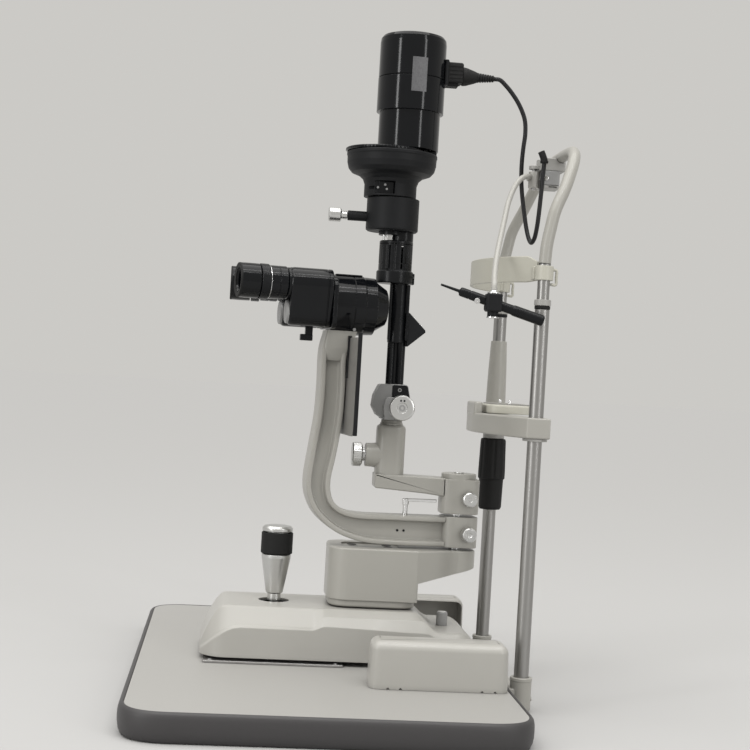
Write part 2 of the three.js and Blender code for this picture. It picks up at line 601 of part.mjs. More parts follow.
function makeSlitHead() {
  const sleeve = pipe(28.4, 14.4, 'z', SLEEVE_X, 0, 0, 461, 496.6, 18);
  const lever = rod(5.4, 'x', 0, 0, 476, -137.6, -112, 10);
  const leverPin = rod(2.6, 'x', 0, 0, 476, -150, -137, 8);
  place(instrument, 'slit_rotation_sleeve', join(sleeve, lever, leverPin), blackMatt);
  const grip = [[0, -158.4], [7, -158.4], [7.7, -157.4], [7.7, -145.6], [7, -144.8], [4, -144.8],
    [4, -138.2], [2.9, -138.2], [2.9, -150.4], [0, -150.4]];
  place(instrument, 'lever_knob', turned(grip, 'x', 0, 0, 476, 12), silver);

  const shell = [[0, 497.4], [28, 497.4], [28, 512], [34, 520], [44, 526], [48, 532],
    [49, 545], [0, 545]];
  const pillar = slab(roundedOutline(-55.6, -46, -13, 13, 2), 540, 549.2, 2);
  const pin = rod(3, 'z', DIAL_X, 0, 0, 540, 549, 8);
  const window = block(-108, -90, -40, -20, 498, 512);
  place(instrument, 'slit_housing', cut(join(turned(shell, 'z', -93, 0, 0, 20), pillar, pin),
    window), blackMatt);

  const dial = pipe(43.6, 3.4, 'z', DIAL_X, 0, 0, 545.4, 549.2, 20);
  const apertures = [0, 1, 2, 3, 4].map((i) => {
    const angle = (i * Math.PI * 2) / 5;
    return rod(7, 'z', DIAL_X + 24 * Math.cos(angle), 24 * Math.sin(angle), 0, 540, 552, 14);
  });
  place(instrument, 'filter_dial', cut(dial, ...apertures), blackGloss);
}

function makeLampHouse() {
  const lower = [[8, 549.6], [33, 549.6], [33, 590], [LAMP_RADIUS, 590.8], [LAMP_RADIUS, 627],
    [33.3, 627], [33.3, 594], [30, 594], [30, 553], [8, 553], [8, 549.6]];
  place(instrument, 'lamp_house', turned(lower, 'z', LAMP_X, 0, 0, 20), blackGloss);
  const cap = [[0, 674.6], [28, 674.4], [33, 672.8], [35.4, 669.6], [36, 665], [36, 627.4],
    [33, 627.4], [33, 663], [29, 668.4], [0, 669]];
  place(instrument, 'lamp_cap', turned(cap, 'z', LAMP_X, 0, 0, 20), blackGloss);
  const bulb = [[0, 606], [5, 608], [8.6, 615], [8.6, 624], [6, 632], [12, 634], [12, 667.6],
    [0, 668.2]];
  place(instrument, 'lamp_bulb', turned(bulb, 'z', LAMP_X, 0, 0, 12), glass);
}

function makeLampCable() {
  const body = endPlate(roundedOutline(-11, 11, 626, 648, 4), -40.2, -21, 3);
  const neck = turned([[0, -22], [9.5, -22], [5.4, -6], [4.6, -5], [3.4, 14], [0, 14]],
    'x', 0, 0, 635, 16);
  const tab = block(-39, -25, -7, 7, 622.5, 627);
  place(instrument, 'lamp_plug', join(body, neck, tab), rubber);
  const run = [[14.6, 0, 635], [20, 0, 634.6], [27, 0, 629], [34, 0, 621.5], [40.5, 0, 613],
    [46.5, 0, 602.5], [50.4, 0, 592], [51.6, 0, 578], [50.6, 1, 563], [50.2, 3, 548],
    [50.8, 5, 533], [52.4, 6.5, 518], [54.6, 7, 504], [57, 6, 490], [59.4, 3, 475],
    [61.6, -3.5, 463], [63.2, -11, 458.4], [64.8, -18.5, 463], [66, -23, 475],
    [66.9, -24, 488], [67.7, -24, 502], [68.4, -24, 516], [69, -24, 530], [69.6, -24, 543.5]];
  place(instrument, 'lamp_cable', tube(run, CABLE_RADIUS, 44, 4), rubber);
  const gland = tube([[69.6, -24, 544], [69.5, -24, 546.5], [68, -24, 551], [65.8, -23.5, 556]],
    3.8, 5, 4);
  place(instrument, 'cable_gland', gland, rubber);
}

makeTable();
makeGuides();
makeRailCover('rail_cover_near', -1);
makeRailCover('rail_cover_far', 1);
makeHeadrestFrame();
makeTopBracket();
makeForeheadBand();
makeChinRest();
makeFixationLamp();
makeCrossShaft();
makeBase();
makeJoystick();
makeCarrier();
makeMicroscopeArm();
makeMicroscopeBody();
makeEyepiece('near', -1);
makeEyepiece('far', 1);
makeIlluminationArm();
makeTowerFork();
makeTower();
makeSlitHead();
makeLampHouse();
makeLampCable();

export default slitLamp;
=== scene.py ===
"""The looks of a table-mounted slit lamp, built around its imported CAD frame.

Shapes are written in millimetres in the instrument's own frame: X = 0 and Y = 0 are the axis
that both arms swing about, Z = 0 is the table's surface, and +X points at the patient.
"""

import json
import math

import bmesh
import bpy
from mathutils import Matrix, Vector


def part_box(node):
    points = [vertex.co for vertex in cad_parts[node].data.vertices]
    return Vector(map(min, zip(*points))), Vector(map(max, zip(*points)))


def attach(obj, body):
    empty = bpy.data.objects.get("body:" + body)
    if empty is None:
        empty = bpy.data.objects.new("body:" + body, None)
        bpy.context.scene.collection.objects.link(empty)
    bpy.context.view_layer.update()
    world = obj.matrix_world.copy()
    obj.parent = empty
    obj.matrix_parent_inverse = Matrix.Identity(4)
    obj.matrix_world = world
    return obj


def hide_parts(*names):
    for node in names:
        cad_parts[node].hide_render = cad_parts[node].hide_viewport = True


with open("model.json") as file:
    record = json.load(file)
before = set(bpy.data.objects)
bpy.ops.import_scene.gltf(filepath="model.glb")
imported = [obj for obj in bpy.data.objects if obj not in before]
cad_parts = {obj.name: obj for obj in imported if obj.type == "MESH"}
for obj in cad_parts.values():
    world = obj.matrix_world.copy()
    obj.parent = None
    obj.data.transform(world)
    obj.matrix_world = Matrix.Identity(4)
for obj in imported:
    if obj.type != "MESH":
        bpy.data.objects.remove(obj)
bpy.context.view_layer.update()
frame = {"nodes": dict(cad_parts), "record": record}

MM = 0.001
SHAFT_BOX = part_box("pivot_shaft")
TABLE_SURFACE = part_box("table_top")[1].z
PIVOT = Vector(((SHAFT_BOX[0].x + SHAFT_BOX[1].x) / 2, 0, TABLE_SURFACE))
TO_FRAME = Matrix.Translation(PIVOT) @ Matrix.Scale(MM, 4)
BODY_OF = {node: body for body, nodes in frame["record"]["behaviour"]["bodies"].items()
           for node in nodes}

TABLE_X0, TABLE_X1, TABLE_HALF_Y, TABLE_DEPTH = -337.5, 43.5, 302, 28
POST_X, POST_Y, POST_RADIUS, FRAME_RADIUS = 57, 120, 7.5, 6.3
SHAFT_X, SHAFT_Z = -36, 18
JOYSTICK_X, BALL_Z, COLUMN_X = -193.6, 22, -92
SCOPE_Z, EYE_Y, EYE_Z, SWIVEL_Y, SWIVEL_Z = 378, 28, 395.6, 24, 366.5
TOWER_X, KNOB_X, KNOB_Z, SLEEVE_X, DIAL_X, LAMP_X = -77, -72, 272, -89, -100, -76.5
FIXATION = Vector((3.5, -138, 383.5))
EYEPIECE_START, CONVERGENCE = -206.4, 6
CAMERA_PLACE, CAMERA_YAW, CAMERA_ROLL, FLOOR_REACH = (-0.1033, -1.62, 0.3331), 5.37, -3.3, 30
CENTRING_Z, LEVER_Z, CUP_X, PLUG_Z = 218.5, 476, -83, 635
LOCK_AT = (-11, -8, 0)
BOARD_CORNER, RIM_CORNER, PARABOLA = 24, 30, 1.6  # a parabola turns tighter than an arc
BASE_NOSE, BASE_HALF, BASE_CORNER = -270.5, 66, 28
# The last of these is the reach of the ambient occlusion that paints shade into corners
SHARP_ANGLE, BUMP_DEPTH, SHADE_REACH = 32, 0.001, 0.006
SCOPE_SWING = Matrix.Rotation(math.radians(6.4), 4, "Z")
ON_SCOPE = {"microscope", "microscope_lock", "magnification_lever", "prism_near", "prism_far",
            "dioptre_near", "dioptre_far"}

CABLE_DIAMETER = 0.0048
CABLE_ROUTE = [(14.6, 0, 635), (20, 0, 634.6), (27, 0, 629), (34, 0, 621.5), (40.5, 0, 613),
               (46.5, 0, 602.5), (50.4, 0, 592), (51.6, 0, 578), (50.6, 1, 563), (50.2, 3, 548),
               (50.8, 5, 533), (52.4, 6.5, 518), (54.6, 7, 504), (57, 6, 490), (59.4, 3, 475),
               (61.6, -3.5, 463), (63.2, -11, 458.4), (64.8, -18.5, 463), (66, -23, 475),
               (66.9, -24, 488), (67.7, -24, 502), (68.4, -24, 516), (69, -24, 530),
               (69.6, -24, 543.5)]


# ---------------------------------------------------------------- camera and light

def add_object(name, data):
    made = bpy.data.objects.new(name, data)
    bpy.context.scene.collection.objects.link(made)
    return made


def make_camera():
    data = bpy.data.cameras.new("camera")
    data.lens, data.sensor_width = 72, 36
    data.clip_start, data.clip_end = 0.05, 60
    camera = add_object("camera", data)
    yaw, roll = math.radians(CAMERA_YAW), math.radians(CAMERA_ROLL)
    camera.matrix_world = (Matrix.Translation(CAMERA_PLACE)
                           @ Matrix.Rotation(-yaw, 4, "Z") @ Matrix.Rotation(math.pi / 2, 4, "X")
                           @ Matrix.Rotation(-roll, 4, "Z"))
    bpy.context.scene.camera = camera


def area_light(name, place, target, size, power):
    data = bpy.data.lights.new(name, "AREA")
    data.shape = "RECTANGLE"
    data.size, data.size_y = size
    data.energy = power
    light = add_object(name, data)
    light.location = place
    light.rotation_euler = (Vector(target) - Vector(place)).to_track_quat("-Z", "Y").to_euler()


def make_stage():
    mesh = bpy.data.meshes.new("floor")
    far = FLOOR_REACH
    mesh.from_pydata([(-far, -far, 0), (far, -far, 0), (far, far, 0), (-far, far, 0)], [],
                     [(0, 1, 2, 3)])
    floor = add_object("floor", mesh)
    paint = bpy.data.materials.new("floor_paint")
    paint.use_nodes = True
    shader = paint.node_tree.nodes["Principled BSDF"]
    shader.inputs["Base Color"].default_value = (0.436, 0.434, 0.431, 1)
    shader.inputs["Specular IOR Level"].default_value = 0
    shader.inputs["Roughness"].default_value = 0.9
    mesh.materials.append(paint)
    world = bpy.data.worlds.new("studio")
    world.use_nodes = True
    background = world.node_tree.nodes["Background"]
    background.inputs["Color"].default_value = (0.60, 0.59, 0.565, 1)
    bpy.context.scene.world = world
    bpy.context.scene.view_settings.view_transform = "Standard"
    sun = bpy.data.lights.new("soft_overhead", "SUN")
    sun.energy, sun.angle, sun.color = 2.45, math.radians(75), (1, 0.99, 0.97)
    overhead = add_object("soft_overhead", sun)
    overhead.rotation_euler = Vector((0.14, 0.12, -1)).to_track_quat("-Z", "Y").to_euler()
    area_light("window_left", (-1.9, -1.5, 0.9), (0, 0, 0.45), (0.28, 1.7), 15)
    area_light("window_right", (1.5, -1.9, 1.0), (0.1, 0, 0.45), (0.22, 1.6), 9)
    for name, forward in (("ceiling_strip_near", -1.5), ("ceiling_strip_far", -0.75)):
        area_light(name, (0.1, forward, 2.3), (0, 0, 0.4), (2.6, 0.05), 6)


# ---------------------------------------------------------------- shape tools

def spline(points, per):
    """Points on the smooth centripetal curve through the given ones."""
    p = [Vector(q) for q in points]
    p = [2 * p[0] - p[1], *p, 2 * p[-1] - p[-2]]
    out = []
    for a, b, c, d in zip(p, p[1:], p[2:], p[3:]):
        u, v, w = (max((n - m).length, 1e-6) ** 0.5 for m, n in ((a, b), (b, c), (c, d)))
        start = ((b - a) / u - (c - a) / (u + v) + (c - b) / v) * v
        end = ((c - b) / v - (d - b) / (v + w) + (d - c) / w) * v
        for k in range(per):
            t = k / per
            out.append(b * (2 * t**3 - 3 * t**2 + 1) + start * (t**3 - 2 * t**2 + t)
                       + c * (3 * t**2 - 2 * t**3) + end * (t**3 - t**2))
    return [*out, p[-2]]


def arc(x, y, radius, start, end, steps):
    turn = [math.radians(start + (end - start) * k / steps) for k in range(steps + 1)]
    return [Vector((x + radius * math.cos(t), y + radius * math.sin(t))) for t in turn]


def rounded(points, radius, *, steps, closed=True, even=False):
    """A polygon or open line with each corner turned into an arc, as far as its sides allow."""
    p = [Vector(q[:2]) for q in points]
    own = [q[2] if len(q) > 2 else radius for q in points]
    out = []
    for i, corner in enumerate(p):
        if not closed and i in (0, len(p) - 1):
            out.append(corner)
            continue
        before, after = p[i - 1], p[(i + 1) % len(p)]
        a, b = before - corner, after - corner
        if a.length < 1e-6 or b.length < 1e-6 or own[i] <= 0:
            out += [corner] * (steps + 1 if even else 1)
            continue
        half = a.angle(b, math.pi) / 2
        if half > math.radians(87) and not even:
            out.append(corner)
            continue
        reach = min(own[i] / math.tan(half), 0.46 * a.length, 0.46 * b.length)
        start, end = corner + a.normalized() * reach, corner + b.normalized() * reach
        for k in range(steps + 1):
            t = k / steps
            out.append((1 - t)**2 * start + 2 * t * (1 - t) * corner + t * t * end)
    return out


def box_outline(u0, u1, v0, v1, radius, steps=6):
    return rounded([(u0, v0), (u1, v0), (u1, v1), (u0, v1)], radius, steps=steps)


def inset(points, distance):
    """A closed outline moved inwards, each corner along its own mitre."""
    area = sum(a.x * b.y - b.x * a.y for a, b in zip(points, points[1:] + points[:1]))
    sign = 1 if area > 0 else -1
    out = []
    for i, q in enumerate(points):
        a = (q - points[i - 1]).normalized()
        b = (points[(i + 1) % len(points)] - q).normalized()
        na, nb = Vector((-a.y, a.x)) * sign, Vector((-b.y, b.x)) * sign
        out.append(q + (na + nb) * (distance / max(1 + na.dot(nb), 0.3)))
    return out


def aimed(u, v, w, axis):
    """A point at (u, v) across an axis and w along it."""
    return Vector({"z": (u, v, w), "y": (u, w, v), "x": (w, u, v)}[axis])


def skin(rings, closed=False, caps=True):
    """A mesh through rings of points, each with as many points as the others."""
    bm = bmesh.new()
    made = [[bm.verts.new(q) for q in ring] for ring in rings]
    count = len(made[0])
    pairs = list(zip(made, made[1:])) + ([(made[-1], made[0])] if closed else [])
    for a, b in pairs:
        for i in range(count):
            bm.faces.new((a[i], a[(i + 1) % count], b[(i + 1) % count], b[i]))
    if caps and not closed:
        bm.faces.new(made[0])
        bm.faces.new(made[-1])
    bmesh.ops.remove_doubles(bm, verts=bm.verts, dist=1e-3)
    bmesh.ops.dissolve_degenerate(bm, edges=bm.edges, dist=1e-4)
    bmesh.ops.recalc_face_normals(bm, faces=bm.faces)
    return bm


def lathe(profile, axis, at, sides, soft, ribs=None):
    """A solid of revolution from (radius, distance) points; ribs = (count, depth, low, high)."""
    closed = tuple(profile[0][:2]) == tuple(profile[-1][:2])
    line = rounded(profile[:-1] if closed else profile, soft, steps=3, closed=closed)
    rings = []
    for r, h in line:
        ring = []
        for k in range(sides):
            turn = 2 * math.pi * k / sides
            radius = r
            if ribs and ribs[2] < h < ribs[3] and r > 1e-3:
                radius -= ribs[1] * (0.5 + 0.5 * math.cos(ribs[0] * turn)) ** 2
            ring.append(aimed(radius * math.cos(turn), radius * math.sin(turn), h, axis)
                        + Vector(at))
        rings.append(ring)
    return skin(rings, closed, caps=False)


def rod(radius, axis, at, start, end, soft=0.4, sides=40):
    return lathe([(0, start), (radius, start), (radius, end), (0, end)], axis, at, sides, soft)


def pipe(outer, inner, axis, at, start, end, soft=0.4, sides=56):
    return lathe([(inner, start), (outer, start), (outer, end), (inner, end), (inner, start)],
                 axis, at, sides, soft)


def sweep_section(points, section, axis="z", closed=False):
    """An outline carried through (inset, distance) steps, with its ends closed."""
    rings = [[aimed(q.x, q.y, h, axis) for q in (inset(points, d) if d else points)]
             for d, h in section]
    return skin(rings, closed)


def prism(points, a, b, axis, soft, soft_end=None):
    """An outline carried from a to b, its end edges rounded by soft, or soft_end at b."""
    points = [Vector(q[:2]) for q in points]
    top = soft if soft_end is None else soft_end
    quarter = [math.radians(30 * k) for k in range(4)]
    section = [(soft * (1 - math.sin(t)), a + soft * (1 - math.cos(t))) for t in quarter]
    section += [(top * (1 - math.sin(t)), b - top * (1 - math.cos(t))) for t in quarter[::-1]]
    return sweep_section(points, section, axis)


def block(x0, x1, y0, y1, z0, z1, soft, corner):
    return prism(box_outline(x0, x1, y0, y1, corner), z0, z1, "z", soft)


def tube(points, radius, sides, per):
    """A round tube along the smooth curve through the points."""
    path = spline(points, per)
    tangents = [(path[min(i + 1, len(path) - 1)] - path[max(i - 1, 0)]).normalized()
                for i in range(len(path))]
    side = tangents[0].orthogonal().normalized()
    rings = []
    for q, t in zip(path, tangents):
        side = (side - t * side.dot(t)).normalized()
        up = t.cross(side)
        rings.append([q + (side * math.cos(2 * math.pi * k / sides)
                           + up * math.sin(2 * math.pi * k / sides)) * radius for k in range(sides)])
    return skin(rings)


def turned(bm, matrix):
    bmesh.ops.transform(bm, matrix=matrix, verts=bm.verts)
    return bm


def about(point, angle, axis):
    centre = Vector(point)
    return (Matrix.Translation(centre) @ Matrix.Rotation(math.radians(angle), 4, axis)
            @ Matrix.Translation(-centre))


def turns(start, end, step):
    """Whole degrees from start up to end, in radians."""
    return [math.radians(angle) for angle in range(start, end, step)]


def reach_of(side, a, b):
    """The stretch from a to b on the near side, -1, or on the far side, 1, low end first."""
    return sorted((side * a, side * b))


def scratch_object(bm):
    mesh = bpy.data.meshes.new("scratch")
    bm.to_mesh(mesh)
    bm.free()
    return add_object("scratch", mesh)


def carve(bm, *tools, operation="DIFFERENCE"):
    """The mesh with each tool cut out of it, or joined to it."""
    base = scratch_object(bm)
    others = [scratch_object(t) for t in tools]
    for other in others:
        step = base.modifiers.new("step", "BOOLEAN")
        step.operation, step.solver, step.object = operation, "EXACT", other
    graph = bpy.context.evaluated_depsgraph_get()
    mesh = bpy.data.meshes.new_from_object(base.evaluated_get(graph))
    out = bmesh.new()
    out.from_mesh(mesh)
    for made in (base, *others):
        bpy.data.objects.remove(made)
    return out


def unite(bm, *others):
    return carve(bm, *others, operation="UNION")


def piece(name, parts, finish, stands_for=None, on=None):
    """A finished piece: one mesh of one or more parts, riding on the body of its CAD node."""
    whole = bmesh.new()
    for part in parts if isinstance(parts, list) else [parts]:
        scrap = bpy.data.meshes.new("scrap")
        part.to_mesh(scrap)
        part.free()
        whole.from_mesh(scrap)
        bpy.data.meshes.remove(scrap)
    body = BODY_OF[stands_for or on]
    placed = TO_FRAME @ SCOPE_SWING if body in ON_SCOPE else TO_FRAME
    bmesh.ops.transform(whole, matrix=placed, verts=whole.verts)
    mesh = bpy.data.meshes.new(name)
    whole.to_mesh(mesh)
    whole.free()
    mesh.shade_smooth()
    mesh.set_sharp_from_angle(angle=math.radians(SHARP_ANGLE))
    mesh.materials.clear()
    mesh.materials.append(finish[0])
    made = add_object(name, mesh)
    weighted = made.modifiers.new("normals", "WEIGHTED_NORMAL")
    weighted.keep_sharp = True
    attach(made, body)
    if stands_for:
        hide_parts(stands_for)
    return made


def keep(node, finish):
    """A CAD node whose shape is right gets its finish."""
    kept = frame["nodes"][node]
    kept.data.materials.clear()
    kept.data.materials.append(finish[0])


# ---------------------------------------------------------------- finishes

def noise(tree, source, scale, detail):
    node = tree.nodes.new("ShaderNodeTexNoise")
    node.inputs["Scale"].default_value = scale
    node.inputs["Detail"].default_value = detail
    tree.links.new(source.outputs["Vector"], node.inputs["Vector"])
    return node


def make_finish(slot, name, colour, roughness, *, grain, mottle, metal=0.0, coat=0.0,
                stretch=(1, 1, 1), spread=0.06, corner_shade=0.0, specular=0.5):
    """A procedural finish: mottled colour, varied roughness, fine bump and painted shade in corners.

    grain is the bump's (scale, strength) and mottle the colour's (scale, share).
    """
    paint = bpy.data.materials.new(name)
    paint.use_nodes = True
    nodes, links = paint.node_tree.nodes, paint.node_tree.links
    shader = nodes["Principled BSDF"]
    shader.inputs["Metallic"].default_value = metal
    shader.inputs["Coat Weight"].default_value = coat
    shader.inputs["Coat Roughness"].default_value = 0.06
    shader.inputs["Specular IOR Level"].default_value = specular
    place = nodes.new("ShaderNodeTexCoord")
    scale = nodes.new("ShaderNodeMapping")
    scale.inputs["Scale"].default_value = stretch
    links.new(place.outputs["Object"], scale.inputs["Vector"])

    fine = noise(paint.node_tree, scale, grain[0], 4)
    bump = nodes.new("ShaderNodeBump")
    bump.inputs["Strength"].default_value = grain[1]
    bump.inputs["Distance"].default_value = BUMP_DEPTH
    links.new(fine.outputs["Fac"], bump.inputs["Height"])
    links.new(bump.outputs["Normal"], shader.inputs["Normal"])

    broad = noise(paint.node_tree, scale, mottle[0], 5)
    broad.inputs["Roughness"].default_value = 0.6
    tint = nodes.new("ShaderNodeMix")
    tint.data_type = "RGBA"
    light = [min(1, c * (1 + mottle[1])) for c in colour]
    dark = [c * (1 - mottle[1]) for c in colour]
    tint.inputs["A"].default_value = (*dark, 1)
    tint.inputs["B"].default_value = (*light, 1)
    links.new(broad.outputs["Fac"], tint.inputs["Factor"])
    out = tint.outputs["Result"]
    # Painted shade: the colour is darkened where ambient occlusion finds nearby surfaces, in corners
    # and creases
    if corner_shade:
        corner = nodes.new("ShaderNodeAmbientOcclusion")
        corner.inputs["Distance"].default_value = SHADE_REACH
        corner.samples = 6
        shade_mix = nodes.new("ShaderNodeMix")
        shade_mix.data_type = "RGBA"
        shade_mix.inputs["A"].default_value = (*[c * (1 - corner_shade) for c in colour], 1)
        links.new(corner.outputs["AO"], shade_mix.inputs["Factor"])
        links.new(out, shade_mix.inputs["B"])
        out = shade_mix.outputs["Result"]
    links.new(out, shader.inputs["Base Color"])

    vary = nodes.new("ShaderNodeMapRange")
    vary.inputs["To Min"].default_value = max(0.02, roughness - spread)
    vary.inputs["To Max"].default_value = min(1, roughness + spread)
    links.new(broad.outputs["Fac"], vary.inputs["Value"])
    links.new(vary.outputs["Result"], shader.inputs["Roughness"])
    return paint, slot


DRAWN = (1, 1, 0.012)
TURNED = {"metal": 1, "grain": (2600, 0.012), "mottle": (900, 0.02), "spread": 0.04}
# The 0.35 share in ENAMELLED and the 0.25 and 0.3 shares given to the laminate, cream and grey
# finishes below set how much painted shade darkens their corners
ENAMELLED = {"coat": 0.1, "grain": (620, 0.05), "mottle": (30, 0.025), "corner_shade": 0.35}
laminate = make_finish("laminate", "laminate", (0.335, 0.329, 0.314), 0.42, grain=(1400, 0.10),
                       mottle=(700, 0.07), corner_shade=0.25)
edge_band = make_finish("edge_grey", "edge_band", (0.040, 0.038, 0.039), 0.5, grain=(1600, 0.15),
                        mottle=(300, 0.08))
enamel = make_finish("white_paint", "enamel", (0.338, 0.330, 0.302), 0.36, **ENAMELLED)
enamel_light = make_finish("white_paint", "enamel_light", (0.375, 0.367, 0.342), 0.34, **ENAMELLED)
cream = make_finish("cream", "cream_plastic", (0.46, 0.45, 0.39), 0.4, grain=(1100, 0.05),
                    mottle=(35, 0.03), corner_shade=0.25)
casting = make_finish("grey_plastic", "grey_casting", (0.27, 0.27, 0.268), 0.45,
                      grain=(900, 0.14), mottle=(60, 0.05), corner_shade=0.3)
bracket_grey = make_finish("grey_plastic", "bracket_grey", (0.33, 0.325, 0.31), 0.4,
                           grain=(900, 0.08), mottle=(60, 0.04), corner_shade=0.3)
aluminium = make_finish("silver", "turned_aluminium", (0.60, 0.60, 0.59), 0.30,
                        stretch=(0.02, 0.02, 1), **TURNED)
aluminium_x = make_finish("silver", "turned_aluminium_x", (0.62, 0.62, 0.61), 0.28,
                          stretch=(1, 0.02, 0.02), **TURNED)
aluminium_y = make_finish("silver", "turned_aluminium_y", (0.62, 0.62, 0.61), 0.28,
                          stretch=(0.02, 1, 0.02), **TURNED)
drawn_tube = make_finish("silver", "drawn_tube", (0.34, 0.335, 0.325), 0.36, metal=1,
                         grain=(3000, 0.06), mottle=(1500, 0.07), stretch=DRAWN, spread=0.07)
chrome = make_finish("silver", "bright_chrome", (0.78, 0.78, 0.78), 0.1, metal=1,
                     grain=(800, 0.01), mottle=(60, 0.03), spread=0.03)
steel = make_finish("steel", "machined_steel", (0.45, 0.445, 0.44), 0.32, metal=1,
                    grain=(1800, 0.12), mottle=(400, 0.10), stretch=(1, 0.05, 1))
gloss = make_finish("black_gloss", "gloss_black", (0.0035, 0.004, 0.005), 0.11, specular=0.25,
                    grain=(500, 0.01), mottle=(60, 0.25), spread=0.04)
satin = make_finish("black_matt", "satin_black", (0.008, 0.0085, 0.0095), 0.5, specular=0.2,
                    grain=(1500, 0.14), mottle=(80, 0.25), spread=0.08)
gloss_trim = make_finish("black_matt", "semi_gloss_black", (0.005, 0.0055, 0.0065), 0.28,
                         grain=(900, 0.05), mottle=(80, 0.25), spread=0.06, specular=0.22)
rubber = make_finish("rubber", "black_rubber", (0.009, 0.009, 0.009), 0.62, specular=0.25,
                     grain=(1900, 0.22), mottle=(120, 0.25), spread=0.08)
cable_jacket = make_finish("rubber", "cable_jacket", (0.010, 0.010, 0.011), 0.38, specular=0.3,
                           grain=(1500, 0.08), mottle=(120, 0.2), spread=0.06)
shield_grey = make_finish("shield", "shield_grey", (0.17, 0.165, 0.155), 0.3, coat=0.1,
                          grain=(800, 0.04), mottle=(40, 0.05))
label_foil = make_finish("black_gloss", "blank_foil_label", (0.12, 0.12, 0.125), 0.42, metal=0.35,
                         grain=(700, 0.5), mottle=(650, 0.5), spread=0.1)
lens_glass = make_finish("glass", "coated_lens", (0.03, 0.045, 0.05), 0.05, coat=1.0,
                         grain=(50, 0.0), mottle=(50, 0.2), spread=0.01, specular=0.9)
bulb_glass = make_finish("glass", "bulb_glass", (0.70, 0.75, 0.76), 0.08, coat=0.6,
                         grain=(50, 0.0), mottle=(50, 0.05), spread=0.02)
mirror_glass = make_finish("mirror", "mirror_glass", (0.88, 0.89, 0.90), 0.04, metal=1,
                           grain=(50, 0.0), mottle=(50, 0.02), spread=0.01)


# ---------------------------------------------------------------- lamp cable

def make_cable():
    bend = spline(CABLE_ROUTE, 10)
    line = bpy.data.curves.new("lamp_lead", "CURVE")
    line.dimensions = "3D"
    line.bevel_depth, line.bevel_resolution, line.use_fill_caps = CABLE_DIAMETER / 2, 6, True
    run = line.splines.new("POLY")
    run.points.add(len(bend) - 1)
    for point, q in zip(run.points, bend):
        point.co = (*(TO_FRAME @ q), 1)
    line.materials.append(cable_jacket[0])
    lead = add_object("lamp_lead", line)
    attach(lead, BODY_OF["lamp_cable"])
    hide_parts("lamp_cable")

    grips = [block(-40.2, -21.4, -11, 11, 626, 648, 2.2, 3)]
    grips += [block(-38, -22.6, *reach_of(side, 10.6, 11.5), z, z + 2.2, 0.4, 0.4)
              for z in (630.4, 634.6, 638.8, 643) for side in (-1, 1)]
    grips += [block(-37, -23.4, y - 0.9, y + 0.9, 647.4, 648.6, 0.4, 0.4) for y in (-6, -2, 2, 6)]
    grips.append(block(-40, -37.4, -11.6, 11.6, 624.6, 648.8, 1, 1))
    grips.append(block(-39, -26, -7, 7, 622.5, 627, 1, 1))
    mould = [(0, -22), (10.4, -22), (9.6, -17), (7.0, -9), (5.6, -5.4), (4.8, -4.6), (0, -4.6)]
    grips.append(lathe(mould, "x", (0, 0, PLUG_Z), 48, 1.5))
    relief = [(0, -5.2)]
    for k in range(7):
        x, r = -5 + 2.7 * k, 5.3 - 0.27 * k
        relief += [(r, x), (r, x + 1.7), (r - 1.1, x + 1.8), (r - 1.1, x + 2.6)]
    relief += [(2.9, 14.1), (0, 14.1)]
    grips.append(lathe(relief, "x", (0, 0, PLUG_Z), 40, 0.25))
    plug = piece("lead_plug", grips, rubber, "lamp_plug")

    hook = [(69.6, -24, 544), (69.5, -24, 546.5), (68, -24, 551), (65.8, -23.5, 556)]
    piece("lead_gland", [tube(hook, 3.7, 24, 10),
                         lathe([(2.6, 0), (4.4, 0), (4.4, 2.4), (2.6, 2.4), (2.6, 0)], "z",
                               (69.6, -24, 543.8), 32, 0.4)], rubber, "cable_gland")


# ---------------------------------------------------------------- table and guides

def make_table():
    top = box_outline(TABLE_X0 + 5.7, TABLE_X1 - 5.7, -TABLE_HALF_Y + 5.7, TABLE_HALF_Y - 5.7,
                      BOARD_CORNER * PARABOLA, 12)
    piece("laminate_board", prism(top, -TABLE_DEPTH, 0, "z", 0.7), laminate, "table_top")
    rim = box_outline(TABLE_X0, TABLE_X1, -TABLE_HALF_Y, TABLE_HALF_Y, RIM_CORNER * PARABOLA, 14)
    section = [(5.4, 0.1), (4.2, 0.3), (2.6, -0.4), (1.1, -2.4), (0.3, -6), (0, -11),
               (0.2, -17), (1.2, -22.5), (3.2, -26.6), (5.4, -TABLE_DEPTH),
               (5.5, -TABLE_DEPTH / 2)]
    piece("moulded_edge", sweep_section(rim, section, "z", closed=True), edge_band,
          "table_edge_band")


def make_guides():
    sheet = box_outline(-266, -120, -71, 71, 3)
    pins = [rod(2.6, "z", (x, y, 0), 2.3, 3.2, 0.3, 24) for x in (-258, -128) for y in (-64, 64)]
    piece("glide_plate", [prism(sheet, 0.3, 2.6, "z", 0.4), *pins], steel, "friction_plate")
    keep("rack_near", steel)
    keep("rack_far", steel)


